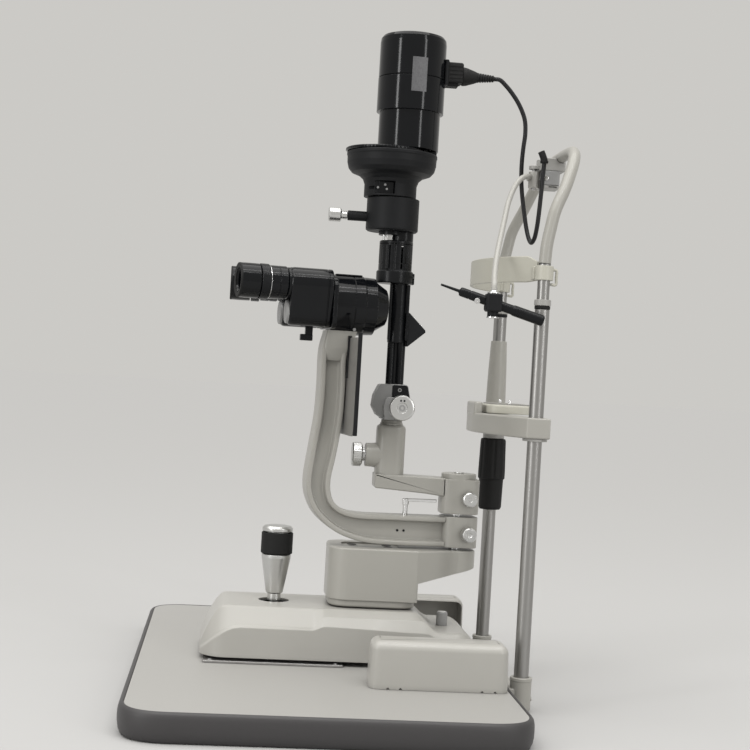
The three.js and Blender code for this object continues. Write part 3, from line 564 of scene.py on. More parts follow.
def make_rail_cover(name, side):
    """A moulded cover with a soft top edge, a small draft and open towards the base."""
    x0, x1 = -102, 36
    plan = box_outline(x0, x1, *reach_of(side, 128, 170), 12, 10)
    curve = [(0, 0.3), (0, 1.4), (0.5, 22), (1.0, 36)]
    curve += [(1.0 + 9.6 * (1 - math.cos(t)), 37.4 + 9.6 * math.sin(t))
              for t in turns(6, 91, 7)]
    shell = sweep_section(plan, curve)
    hollow = prism(box_outline(x0 + 3, x1 - 3, *reach_of(side, 131, 167), 7), -1, 44, "z", 0.3, 6)
    slot = prism(rounded([(x0 + 3, -1), (x1 - 3, -1), (x1 - 3, 43.4, 9), (x0 + 3, 43.4, 9)], 0.1,
                         steps=8), *reach_of(side, 120, 140), "y", 0.1)
    notches = [rod(1.5, "y", (x, 0, 0.6), side * 165 - 6, side * 165 + 6, 0.1, 16)
               for x in (-84, -71.5, 9, 22)]
    cover = carve(shell, hollow, slot, *notches)
    piece(name.replace("rail_cover", "guide_cover"), cover, enamel_light, name)


def make_gears():
    rings = [pipe(9.6, 6.8, "y", (SHAFT_X, 0, SHAFT_Z), s - 3, s + 3, 0.5) for s in (-114, 114)]
    piece("shaft_tube", [pipe(9, 6.6, "y", (SHAFT_X, 0, SHAFT_Z), -118, 118, 0.5), *rings],
          aluminium_y, "shaft_sleeve")
    keep("cross_shaft", steel)


# ---------------------------------------------------------------- head rest

def make_headrest_frame():
    cast = [block(43.8, 56, -128, 128, -25, -3, 2, 2)]
    for y in (-POST_Y, POST_Y):
        cast.append(block(53, POST_X, y - 8, y + 8, -25, -3, 1.5, 1.5))
        socket = [(7.8, -26), (10.4, -26), (10.9, -24), (10.9, 4), (11.3, 4.6), (11.3, 7.2),
                  (10.7, 8), (7.8, 8), (7.8, -26)]
        cast.append(lathe(socket, "z", (POST_X, y, 0), 56, 0.6))
        cast.append(rod(2.4, "x", (0, y, -14), 67, 68.6, 0.4, 24))
    piece("post_sockets", cast, enamel, "headrest_bracket")
    for name, y in (("post_near", -POST_Y), ("post_far", POST_Y)):
        at = (POST_X, y, 0)
        shaft = [(0, -21.5), (POST_RADIUS, -21.5), (POST_RADIUS, 381), (6.25, 381.3),
                 (6.25, 427.4), (0, 427.4)]
        piece(name.replace("post", "upright"), lathe(shaft, "z", at, 56, 0.4), drawn_tube, name)
        piece(name + "_ring", pipe(8.0, 6.3, "z", at, 381.4, 384.6, 0.4), rubber, on=name)
        piece(name + "_collar", pipe(8.6, 6.3, "z", at, 384.9, 391, 0.8), bracket_grey, on=name)
    half = [(POST_X, -120, 428), (POST_X + 1, -120, 446), (61, -119.5, 464), (65, -118, 482),
            (76, -110, 508), (87, -92, 538), (91, -70, 550), (91.5, -35, 553), (91.5, 0, 553.5)]
    arch = half + [(x, -y, z) for x, y, z in half[-2::-1]]
    piece("bent_tube", tube(arch, FRAME_RADIUS, 40, 12), enamel, "head_frame")
    for name, y in (("seam_near", -POST_Y), ("seam_far", POST_Y)):
        piece(name, pipe(6.15, 5.2, "z", (POST_X, y, 0), 427.4, 428.1, 0.1), satin,
              on="head_frame")


def make_top_bracket():
    groove = block(66, 98, -9, 9, 549.4, 554, 0.6, 1)
    saddle = rod(6.6, "y", (91.5, 0, 553.4), -20, 20, 0.1, 48)
    hanger = carve(block(68, 96, -13, 13, 537.6, 552, 1.4, 2.5), groove, saddle)
    turn = rod(6, "z", (64, 0, 0), 539.5, 543.5, 0.8)
    bridge = block(62, 72, -6, 6, 539.6, 543.4, 0.6, 1)
    clip = block(68.5, 73, -19.6, -12, 545.5, 550, 0.6, 1)
    piece("crossbar_hanger", [hanger, turn, bridge, clip], bracket_grey, "top_bracket")
    piece("hanger_box", block(70.4, 90, -14, 14, 522, 537.8, 1.2, 2), casting, on="top_bracket")
    lip = carve(block(70, 91, -13.6, 13.6, 518.6, 521.8, 0.7, 1.6),
                block(78, 87, -15, -11, 519.4, 521, 0.1, 0.3))
    piece("hanger_lip", lip, bracket_grey, on="top_bracket")
    piece("hanger_pin", rod(2.2, "z", (64, 0, 0), 517, 541, 0.5, 24), steel, on="top_bracket")
    heads = [carve(rod(3, "y", (74.5, 0, 529.5), -15.4, -13.6, 0.5, 32),
                   block(74, 75, -16, -14.6, 526, 533, 0.05, 0.1)),
             carve(rod(3, "x", (0, 0, 530), 68.9, 70.8, 0.5, 32),
                   block(68.6, 69.6, -3.4, 3.4, 529.5, 530.5, 0.05, 0.1))]
    piece("hanger_screws", heads, chrome, on="top_bracket")


def make_forehead_band():
    """A curved strap support: one moulded strip on two sleeves, with a loop behind each post."""
    bulge, thick, low, high = 147.7, 3.0, 409, 436
    reach = math.degrees(math.asin(110 / bulge))
    rings = []
    steps = 60
    for k in range(steps + 1):
        turn = math.radians(180 - reach + 2 * reach * k / steps)
        edge = min(k, steps - k) / steps
        drop = 5.5 * max(0.0, 1 - edge / 0.045)
        profile = rounded([(bulge - thick, low + drop * 0.3), (bulge, low + drop * 0.3),
                           (bulge, high - drop), (bulge - thick, high - drop)], 1.3, steps=4)
        rings.append([Vector((2 + bulge + q.x * math.cos(turn), q.x * math.sin(turn), q.y))
                      for q in profile])
    parts = [skin(rings)]
    for side in (-1, 1):
        y = side * POST_Y
        parts.append(pipe(9.3, 6.6, "z", (POST_X, y, 0), 410.6, 425.4, 1))
        parts.append(block(46, 56, *reach_of(side, 107.6, 117), 411.4, 425, 1.2, 1.6))
        loop = [(64, y, 407), (69.3, y, 407), (69.6, y, 414), (69.3, y, 421.5), (64, y, 421.5)]
        parts.append(tube(loop, 1.5, 16, 6))
    piece("brow_band", parts, cream, "forehead_band")


def make_chin_rest():
    front = spline([(46, -134), (34, -112), (18, -62), (9, -24), (8, 0), (9, 24), (18, 62),
                    (34, 112), (46, 134)], 6)
    back = spline([(70, 134), (71, 106), (60, 70), (47, 32), (44, 0), (47, -32), (60, -70),
                   (71, -106), (70, -134)], 6)
    plan = rounded([*front, *back], 2.5, steps=2)
    bores = [rod(8, "z", (POST_X, y, 0), 240, 280, 0.1, 48) for y in (-POST_Y, POST_Y)]
    bar = carve(prism(plan, 250, 271, "z", 1.8), *bores)
    lip = prism(box_outline(8.5, 18, -26, 26, 4), 268, 283, "z", 0.4, 2.4)
    piece("chin_bracket", [bar, lip], enamel, "chin_bar")
    collar = lathe([(8, 247.2), (12.6, 247.2), (12.6, 249.9), (8, 249.9), (8, 247.2)], "z",
                   (POST_X, -POST_Y, 0), 48, 0.5)
    piece("chin_bracket_gasket", collar, bracket_grey, on="chin_bar")

    dish = lathe([(0, 276), (12, 277.3), (22, 282), (27, 290), (0, 290)], "z", (49, 0, 0), 64, 4)
    cup = carve(prism(box_outline(22, 74, -36, 36, 16), 271.4, 281, "z", 0.8, 2.2), dish)
    piece("chin_dish", cup, cream, "chin_cup")
    paper = [prism(box_outline(25 + 0.6 * k, 71 - 0.5 * k, -33 + 0.7 * k, 33 - 0.6 * k, 12),
                   281.02 + 0.34 * k, 281.3 + 0.34 * k, "z", 0.1) for k in range(4)]
    piece("chin_paper", [carve(sheet, rod(20, "z", (48, 0, 0), 280, 290, 0.1, 64))
                         for sheet in paper], enamel_light, on="chin_cup")
    pegs = [rod(1.7, "z", (46, y, 0), 280.6, 286, 0.6, 24) for y in (-29, 29)]
    piece("chin_pegs", pegs, chrome, on="chin_cup")

    sleeve = [(8, 271.4), (12, 271.4), (11.6, 279), (10.6, 320), (9.4, 350), (9.2, 353), (8, 353),
              (8, 271.4)]
    piece("height_sleeve", lathe(sleeve, "z", (POST_X, POST_Y, 0), 56, 0.6), enamel,
          "chin_sleeve")
    grip = [(8, 156), (12, 156), (13.4, 159), (14.1, 190), (14.2, 191), (15.6, 192.4),
            (15.7, 200), (14.8, 236), (14.0, 238.6), (8, 238.8), (8, 156)]
    piece("height_knob", lathe(grip, "z", (POST_X, POST_Y, 0), 168, 0.8,
                               ribs=(12, 0.9, 194, 237)), rubber, "chin_knob")
    piece("height_knob_collar", pipe(12.5, 8, "z", (POST_X, POST_Y, 0), 239, 249.6, 0.8),
          bracket_grey, on="chin_knob")


def make_fixation_lamp():
    x, y, z = FIXATION
    arm = tube([(58.5, 0, 529), (56, -8, 530.5), (49, -15, 528), (40.5, -23, 519), (31, -38, 499),
                (23.3, -60, 475), (10.5, -101, 433), (5, -127, 409.5), (3.8, -136, 402),
                (3.5, -138, 396)], 3, 28, 10)
    eye = pipe(6, 2.6, "z", (64, 0, 0), 519, 537, 0.8)
    piece("fixation_tube", [arm, eye], enamel_light, "fixation_arm")

    tilt = Matrix.Translation(FIXATION) @ Matrix.Rotation(math.radians(16), 4, "Y")
    bore = turned(rod(5.1, "x", (0, 0, 0), -30, 30, 0.1, 48), tilt)
    body = carve(block(x - 8, x + 8, -147, -129.6, z - 8.6, z + 9.4, 1.6, 3), bore)
    ribs = [block(x - 8.6, x - 7, -146 + 3 * k, -144.6 + 3 * k, z - 7, z + 7, 0.4, 0.4)
            for k in range(5)]
    dome = lathe([(0, 13), (3.2, 13), (4.4, 11.6), (6.6, 10.9), (6.6, 9.2), (0, 9.2)], "z",
                 FIXATION, 48, 0.9)
    foot = rod(5.6, "z", FIXATION, -13.6, -8, 0.5)
    pin = rod(1.1, "x", (x, y, z - 12.4), 4, 11.5, 0.3, 20)
    piece("fixation_holder", [body, *ribs, foot, pin], satin, "fixation_clamp")
    piece("fixation_cap", [dome], chrome, on="fixation_clamp")
    piece("fixation_rim", pipe(6.2, 3.4, "z", FIXATION, -15, -13.4, 0.4), chrome,
          on="fixation_clamp")

    barrel = [(0, -56), (1.1, -56), (1.6, -37), (2.4, -36.2), (4.2, -35.4), (4.6, -34),
              (4.7, -26), (4.35, -25.6), (4.35, -24.4), (4.75, -24), (4.85, 20), (5.5, 22),
              (5.6, 52.1), (5.0, 53.5), (0, 52.9)]
    piece("fixation_barrel", turned(lathe(barrel, "x", (0, 0, 0), 48, 0.3), tilt), gloss_trim,
          "fixation_lamp")
    screw = carve(rod(2.9, "y", (-17, 0, -4), -7.4, -4.2, 0.5, 32),
                  block(-21, -13, -9, -6.8, -4.5, -3.6, 0.05, 0.1))
    piece("fixation_screw", turned(screw, tilt), chrome, on="fixation_lamp")


# ---------------------------------------------------------------- base and joystick

def ease(x, start, end):
    """0 before start, 1 after end, and a smooth step between them."""
    share = min(1, max(0, (x - start) / (end - start)))
    return share * share * (3 - 2 * share)


def base_section(x):
    """Half width, crease height, shoulder (y, z) and top (y, z) of the base cover at x."""
    into_corner = max(-242 - x, x + 8, 0)
    width = BASE_HALF - BASE_CORNER + math.sqrt(max(0, BASE_CORNER**2 - into_corner**2))
    top = 14 + 43 * math.sin(min(1, (x - BASE_NOSE) / 26) * math.pi / 2) ** 0.9
    crease = 9 + 28 * math.sin(min(1, (x - BASE_NOSE) / 42) * math.pi / 2)
    ledge = ease(x, -154, -141) * (1 - ease(x, -34, -22))
    crease += 4 * ledge
    shoulder_y, shoulder_z = width - 4 - 3 * ledge, crease + 2 + 7 * ledge
    fall = ease(x, -47, -19)
    top = top * (1 - fall) + 38.5 * fall
    crease -= 3 * ease(x, -150, -30)
    if x > 2:
        drop = 1 - math.sqrt(max(0, 1 - ((x - 2) / 18.2)**2))
        top -= 18 * drop
        crease -= 14 * drop
    inner = min(width - 6, 48 - 2 * ease(x, -60, -20) + 10 * fall)
    shoulder_z = min(shoulder_z, top - 0.8)
    crease = min(crease, shoulder_z - 0.8)
    return width, crease, shoulder_y, shoulder_z, inner, top


def make_base():
    stations = [-270, -269.2, -267.5, -264.5, -260, -255, -250, -246, -242, -236, -228, -215,
                -190, -164, -158, -154, -151, -147.5, -144, -141, -136, -120, -90, -62, -56, -50, -44,
                -38, -32, -26, -20, -14, -8, -3, 2, 7, 11, 14.5, 17, 18.8, 19.7, 20]
    rings = []
    for x in stations:
        w, c, sy, sz, t, top = base_section(x)
        half = [(w, 5, 0.8), (w, c, 2.2), (sy, sz, 2.2), (t, top, 4)]
        loop = [*half, *[(-y, z, r) for y, z, r in half[::-1]]]
        rings.append([Vector((x, q.x, q.y)) for q in rounded(loop, 1, steps=4, even=True)])
    hull = skin(rings)
    hollow = prism(box_outline(-262, 12, -62, 62, 25), 0, 30, "z", 0.3, 3)
    dome = prism(box_outline(-240, -62, -42, 42, 8), 20, 53, "z", 0.3, 3)
    stick_hole = rod(16.5, "z", (JOYSTICK_X, 0, 0), 40, 70, 0.1, 64)
    column_hole = rod(15, "z", (COLUMN_X, 0, 0), 40, 70, 0.1, 64)
    knob_hole = rod(3.4, "z", LOCK_AT, 20, 50, 0.1, 32)
    ends = rod(10.5, "y", (SHAFT_X, 0, SHAFT_Z), -80, 80, 0.1, 48)
    cover = carve(hull, hollow, dome, stick_hole, column_hole, knob_hole, ends)
    piece("base_shell", cover, enamel_light, "base_cover")
    piece("joystick_seal", pipe(16.2, 11, "z", (JOYSTICK_X, 0, 0), 53.6, 55.2, 0.4), rubber,
          on="base_cover")
    keep("base_chassis", steel)
    lock = [(0, 24), (2.8, 24), (2.8, 37.8), (5.4, 38), (6, 38.8), (6, 51.6), (5.2, 53), (0, 53)]
    piece("lock_screw", lathe(lock, "z", LOCK_AT, 144, 0.4, ribs=(36, 0.4, 39.4, 51.2)),
          casting, "base_lock_knob")
    cap = lathe([(0, 53.35), (4.6, 53.35), (5.0, 52.9), (0, 52.9)], "z", LOCK_AT, 48, 0.2)
    piece("lock_screw_face", cap, aluminium, on="base_lock_knob")


def make_joystick():
    keep("joystick_gimbal", steel)
    at = (JOYSTICK_X, 0, 0)
    ball = [(0, BALL_Z - 13)]
    ball += [(13 * math.cos(t), BALL_Z + 13 * math.sin(t))
             for t in turns(-80, 66, 10)]
    ball += [(5, 38), (5, 54), (4, 56), (4, 100), (0, 100)]
    piece("joystick_shaft", lathe(ball, "z", at, 56, 0.5), steel, "joystick_stem")
    handle = [(0, 103), (4.4, 103), (4.4, 56.5), (7.0, 56.5), (7.2, 57.2), (7.2, 64.4),
              (9.0, 65.2), (9.4, 66.6), (15.8, 103), (15.9, 105.8), (15.2, 106.8), (12, 107),
              (12, 130.6), (0, 130.6)]
    piece("joystick_cone", lathe(handle, "z", at, 72, 0.5), aluminium, "joystick_handle")
    cap = [(0, 138), (9, 137.8), (14.4, 136.9), (16.5, 134.6), (16.5, 131), (0, 131)]
    piece("joystick_cap", lathe(cap, "z", at, 72, 1.2), aluminium, on="joystick_handle")
    grip = [(12.3, 107.5), (16.6, 107.5), (17, 108.2), (17, 129.2), (16.6, 129.9), (12.3, 129.9),
            (12.3, 107.5)]
    piece("joystick_band", lathe(grip, "z", at, 240, 0.3, ribs=(80, 0.35, 108.6, 129)), rubber,
          "joystick_grip")


# ---------------------------------------------------------------- carrier

def make_carrier():
    near = [(-45, -40), (0, -22)]
    plan = [Vector(q) for q in near] + arc(0, 0, 22, -90, 90, 24) + [Vector((-45, 40))]
    plan += arc(-117, 18, 22, 90, 180, 12) + arc(-117, -18, 22, 180, 270, 12)
    under = prism([(-43, 60), (-43, 86), (30, 104), (30, 60)], -60, 60, "y", 0.2)
    recess = prism(box_outline(-124, -62, -21, 21, 14), 119.4, 123, "z", 0.2)
    shaft_bore = rod(7.3, "z", (0, 0, 0), 100, 130, 0.1, 48)
    body = carve(prism(rounded(plan, 3, steps=2), 65.4, 121, "z", 1.2, 2.2), under, recess,
                 shaft_bore)
    lip = prism(box_outline(-137, -43.4, -38, 38, 22), 58.2, 65.6, "z", 2.4, 0.6)
    piece("carrier_casting", [body, lip], enamel, "carrier")
    piece("height_column", rod(13.8, "z", (COLUMN_X, 0, 0), 7, 66, 0.5, 64), chrome, on="carrier")
    wells = [rod(5.2, "z", (x, y, 0), 119.45, 119.9, 0.1, 32)
             for x, y in ((-112, -10), (-112, 10), (-74, -10), (-74, 10))]
    piece("carrier_screws", wells, satin, on="carrier")
    piece("swing_shaft", rod(7, "z", (0, 0, 0), 100.3, 200.6, 0.6, 56), chrome, "pivot_shaft")


# ---------------------------------------------------------------- microscope

def arm_web():
    """The swinging arm's web: an I-beam section carried between its outer and inner edges."""
    sides = [((-16, 124), (-16, 156)), ((-69, 124), (-80, 156)), ((-104, 126), (-106, 156.4)),
             ((-131, 134), (-122, 158.3)), ((-147, 144), (-132.5, 162.4)),
             ((-160, 157), (-139.5, 168.6)), ((-168, 174), (-143.4, 179)),
             ((-170, 190), (-144, 192)), ((-166, 228), (-140, 216)),
             ((-162, 260), (-135, 255)), ((-161, 292), (-134, 290)),
             ((-161, 330), (-134, 326)), ((-157, 349), (-126, 349))]
    outer, inner = (spline(line, 8) for line in zip(*sides))
    rim = [(0, 13.4), (0.5, 14.5), (1.6, 15), (4.2, 15), (5.2, 14.4), (5.7, 13), (6.0, 9.4),
           (6.8, 7.6), (8.4, 6.9)]
    rings = []
    for a, b in zip(outer, inner):
        across = (b - a).normalized()
        near = [(a + across * d, -h) for d, h in rim] + [(b - across * d, -h)
                                                        for d, h in rim[::-1]]
        ring = near + [(q, -h) for q, h in near[::-1]]
        rings.append([Vector((q.x, h, q.y)) for q, h in ring])
    return skin(rings)


def lock_knob(x, z):
    face = [(0, -33.6), (2.2, -33.6), (2.6, -34.0), (6.6, -34.0), (7.6, -33.4), (8, -32.6),
            (8, -24), (7.4, -23), (5, -22.6), (5, -19.6), (2.9, -19.4), (2.9, -8.4), (0, -8.4)]
    return lathe(face, "y", (x, 0, z), 160, 0.3, ribs=(40, 0.35, -32.2, -24.2))


def make_microscope_arm():
    head = []
    for z, grow in ((318, -5), (321, -3.2), (330, -0.6), (333, 0), (350, 0)):
        slide = (z - 318) / 34
        x0, x1 = -161.6 + 5 * slide, -134.4 + 10.4 * slide
        ring = box_outline(x0 - grow, x1 + grow, -16.6 - grow, 16.6 + grow, 3)
        head.append([Vector((q.x, q.y, z)) for q in ring])
    boss = prism(box_outline(-17, 21, -19, 19, 11), 123.6, 157, "z", 1.0)
    piece("scope_arm", [arm_web(), skin(head), boss], enamel, "microscope_arm")
    dots = [rod(1.3, "y", (x, 0, 139.5), -7.35, -6.9, 0.1, 24) for x in (-67, -60)]
    piece("scope_arm_screws", dots, satin, on="microscope_arm")
    piece("scope_lock", lock_knob(7, 139.4), aluminium_y, "microscope_lock_knob")
    piece("detent_pin", [rod(2.8, "z", (-58, 0, 0), 155, 173.6, 0.5, 32),
                         rod(3.8, "z", (-58, 0, 0), 167, 173.6, 0.7, 32),
                         block(-58, -24, -3, 3, 170.6, 174, 0.6, 0.8)], chrome,
          on="microscope_arm")

    notched = rounded([(-64, 240, 12), (64, 240, 12), (64, 343, 8), (20, 343), (20, 320),
                       (-20, 320), (-20, 343), (-64, 343, 8)], 4, steps=6)
    sheet = prism(notched, -133, -131, "x", 0.5)
    lug = block(-133.7, -132, -6, 6, 300, 312, 0.4, 1)
    piece("breath_screen", [sheet, lug], shield_grey, "breath_shield")
    lip = prism(box_outline(-132.8, -128.4, -65.2, -63, 0.8), 241, 348, "z", 0.8)
    piece("breath_screen_edge", lip, satin, on="breath_shield")
    mount = block(-134.6, -130.6, -19.4, 19.4, 300, 345, 0.6, 1)
    piece("breath_screen_mount", mount, satin, on="breath_shield")


def make_microscope_body():
    at = (0, 0, SCOPE_Z)
    drum = [(0, -154), (31, -154), (32, -153), (32, -131.4), (31.4, -131.2), (31.4, -130.4),
            (32, -130.2), (32, -120), (31.2, -118.4), (30.6, -106.6), (27.2, -105.6),
            (19.4, -93.4), (17.6, -92.5), (15.2, -92.5), (15, -100), (0, -100)]
    swivels = [rod(8, "x", (0, s * SWIVEL_Y, SWIVEL_Z), -172, -150, 0.4) for s in (-1, 1)]
    wall = prism(box_outline(-44, 44, 351, 404, 14), -157, -152, "x", 1.0)
    flat = block(-150, -121, -9, 9, 409.0, 410.6, 0.5, 2)
    piece("scope_drum", [lathe(drum, "x", at, 96, 0.6), wall, *swivels, flat], gloss,
          "microscope_body")
    ring = lathe([(15.0, -99.6), (18.4, -99.6), (18.4, -97), (16, -96.4), (15.0, -96.4),
                  (15.0, -99.6)], "x", at, 64, 0.3)
    piece("objective_ring", ring, gloss_trim, on="microscope_body")
    glass = [(0, -99.6), (14.6, -99.6), (14.6, -97.4)]
    glass += [(14.6 * math.cos(t), -97.2 + 2.7 * math.sin(t))
              for t in turns(10, 91, 16)]
    piece("front_lens", lathe(glass, "x", at, 64, 0.1), lens_glass, "objective_lens")
    screw = rod(1.7, "y", (-129, 0, 352), -20.8, -18.4, 0.4, 24)
    piece("scope_screw", screw, casting, on="microscope_body")
    hook = [rod(3, "x", (0, 0, 356), -178, -157.4, 0.5, 32),
            block(-178.4, -170.6, -3, 3, 339, 357, 0.7, 0.8),
            block(-183.6, -170.4, -3.5, 3.5, 337.6, 344.4, 0.8, 1)]
    piece("power_lever", hook, gloss_trim, "magnification_lever")


def housing_outline(side):
    upper, lower = 17.5, 14.5
    dy, dz = side * (EYE_Y - SWIVEL_Y), EYE_Z - SWIVEL_Z
    lean = math.degrees(math.atan2(dy, dz))
    flare = math.degrees(math.asin((upper - lower) / math.hypot(dy, dz)))
    return (arc(side * EYE_Y, EYE_Z, upper, -lean - flare, 180 - lean + flare, 24)
            + arc(side * SWIVEL_Y, SWIVEL_Z, lower, 180 - lean + flare, 360 - lean - flare, 20))


def make_eyepiece(name, side):
    y = side * EYE_Y
    at = (0, y, EYE_Z)
    lean = about((EYEPIECE_START, y, 0), -side * CONVERGENCE, "Z")
    plan = housing_outline(side)
    ramp = [(3.4, -202), (1.4, -201.4), (0.4, -200), (0, -198), (0, -163.4), (0.6, -163),
            (0.6, -162.2), (0, -161.8), (0, -158.6), (0.6, -157.6)]
    shell = sweep_section(plan, ramp, "x")
    seat = lathe([(0, -206.2), (15.9, -206.2), (16.6, -205.4), (16.8, -203.4), (16.2, -203),
                  (16.2, -202.2), (17, -201.8), (17.2, -197), (0, -197)], "x", at, 72, 0.3)
    piece(f"prism_box_{name}", [shell, turned(seat, lean)], gloss, f"prism_housing_{name}")
    disc = lathe([(0, -204.6), (11.6, -204.6), (12.6, -203.8), (12.6, -201),
                  (0, -201)], "x", (0, side * SWIVEL_Y, SWIVEL_Z), 64, 0.5)
    piece(f"swivel_cap_{name}", disc, casting, on=f"prism_housing_{name}")

    barrel = [(0, -247), (12.5, -247), (12.5, -254), (13.4, -256.4), (15.5, -257), (17.4, -257),
              (18.1, -256), (18.3, -247), (18.2, -236.4), (17.8, -236), (13, -235.8),
              (13, -225.6), (17.2, -225.2), (17.5, -224.2), (17.5, -216), (17.0, -215.7),
              (17.0, -215), (17.5, -214.7), (17.5, -207.6), (16.6, -206.6), (0, -206.6)]
    piece(f"ocular_{name}", turned(lathe(barrel, "x", at, 80, 0.35), lean), gloss,
          f"eyepiece_{name}")
    lens = [(0, -250.2), (6, -249.7), (12.2, -247.6), (12.2, -247.05), (0, -247.05)]
    piece(f"ocular_lens_{name}", turned(lathe(lens, "x", at, 56, 0.2), lean), lens_glass,
          on=f"eyepiece_{name}")
    cup = lathe([(12.7, -256.9), (17.2, -257.6), (17.9, -257.2), (18.2, -255.6), (16, -256.0),
                 (12.7, -256.2), (12.7, -256.9)], "x", at, 64, 0.2)
    piece(f"eye_cup_{name}", turned(cup, lean), rubber, on=f"eyepiece_{name}")
    band = pipe(17.8, 17.0, "x", at, -225.35, -224.85, 0.1, 72)
    piece(f"silver_line_{name}", turned(band, lean), chrome, on=f"eyepiece_{name}")
    ring = lathe([(13.4, -235), (18.2, -235), (18.6, -234.4), (18.6, -226.6), (18.2, -226),
                  (13.4, -226), (13.4, -235)], "x", at, 288, 0.2, ribs=(72, 0.3, -234.2, -230.8))
    piece(f"dioptre_grip_{name}", turned(ring, lean), gloss_trim, f"dioptre_ring_{name}")
    ticks = []
    for k in range(-6, 7):
        reach = 2.6 if k % 2 == 0 else 1.5
        tick = block(-226.8 - reach, -226.8, y - 0.18, y + 0.18, EYE_Z + 18.5, EYE_Z + 18.68,
                     0.03, 0.03)
        ticks.append(turned(turned(tick, about(at, 45 * side + 9 * k, "X")), lean))
    piece(f"dioptre_scale_{name}", ticks, cream, on=f"dioptre_ring_{name}")


# ---------------------------------------------------------------- illumination

def make_illumination_arm():
    side = [(-93.2, 184, 3), (-38, 180.5), (-16, 178), (-16, 198), (-93.2, 199.4, 1)]
    beam = prism(rounded(side, 1, steps=6), -16.4, 16.4, "y", 1.8)
    upright = prism(box_outline(-92.8, -61.4, -15.2, 15.2, 13, 10), 190, 252.6, "z", 0.6, 4.6)
    head = prism(box_outline(-20, 22, -19, 19, 12), 160, 197.5, "z", 1.0)
    cap = lathe([(0, 196), (19, 196), (19, 202.6), (18.2, 203.4), (0, 203.4)], "z", (0, 0, 0),
                64, 0.5)
    neck = lathe([(0, 250), (12.8, 250), (12.4, 253.6), (11.6, 255), (11.4, 257.6), (0, 257.6)],
                 "z", (TOWER_X, 0, 0), 64, 0.8)
    boss = lathe([(0, -78), (14.6, -78), (14.0, -90), (12.9, -97), (12.7, -103.2), (12, -104),
                  (0, -104)], "x", (0, 0, CENTRING_Z), 72, 0.8)
    piece("lamp_arm", [beam, upright, head, cap, neck, boss], enamel, "illumination_arm")
    piece("lamp_arm_screw", [rod(5.4, "z", (0, 0, 0), 203.4, 204.6, 0.4, 40)], aluminium,
          on="illumination_arm")
    piece("lamp_arm_lock", lock_knob(9, 177.3), aluminium_y, "illumination_lock_knob")
    knob = [(0, -117.7), (9, -117.8), (11.9, -118.3), (13, -117), (13, -108.8), (11.6, -107.4),
            (9, -107), (6, -106), (6, -104.4), (4, -104.2), (4, -86), (0, -86)]
    piece("centring_screw", lathe(knob, "x", (0, 0, CENTRING_Z), 180, 0.5,
                                  ribs=(30, 0.45, -116.6, -109)), aluminium_x, "centring_knob")
    coil = [(-107 + 0.42 * k / 6, 6.9 * math.cos(k * math.pi / 6),
             CENTRING_Z + 6.9 * math.sin(k * math.pi / 6)) for k in range(86)]
    piece("centring_spring", tube(coil, 0.55, 10, 2), chrome, on="centring_knob")


def tilt_bore():
    return rod(4.5, "y", (KNOB_X, 0, KNOB_Z), -40, 40, 0.1, 40)


def make_tower_fork():
    parts = [rod(4.6, "z", (TOWER_X, 0, 0), 240, 259, 0.4),
             block(-89, -65, -27, 27, 258, 260.8, 0.8, 3)]
    for y0, y1 in ((-27, -21.5), (21.5, 27)):
        cheek = rounded([(-88, 259), (-66, 259), (-64.6, 268), (-66, 281), (-87, 283), (-89.6, 271)],
                        5, steps=6)
        parts.append(prism(cheek, y0, y1, "y", 0.9))
    piece("tilt_fork", carve(unite(*parts), tilt_bore()), casting, "tower_fork")


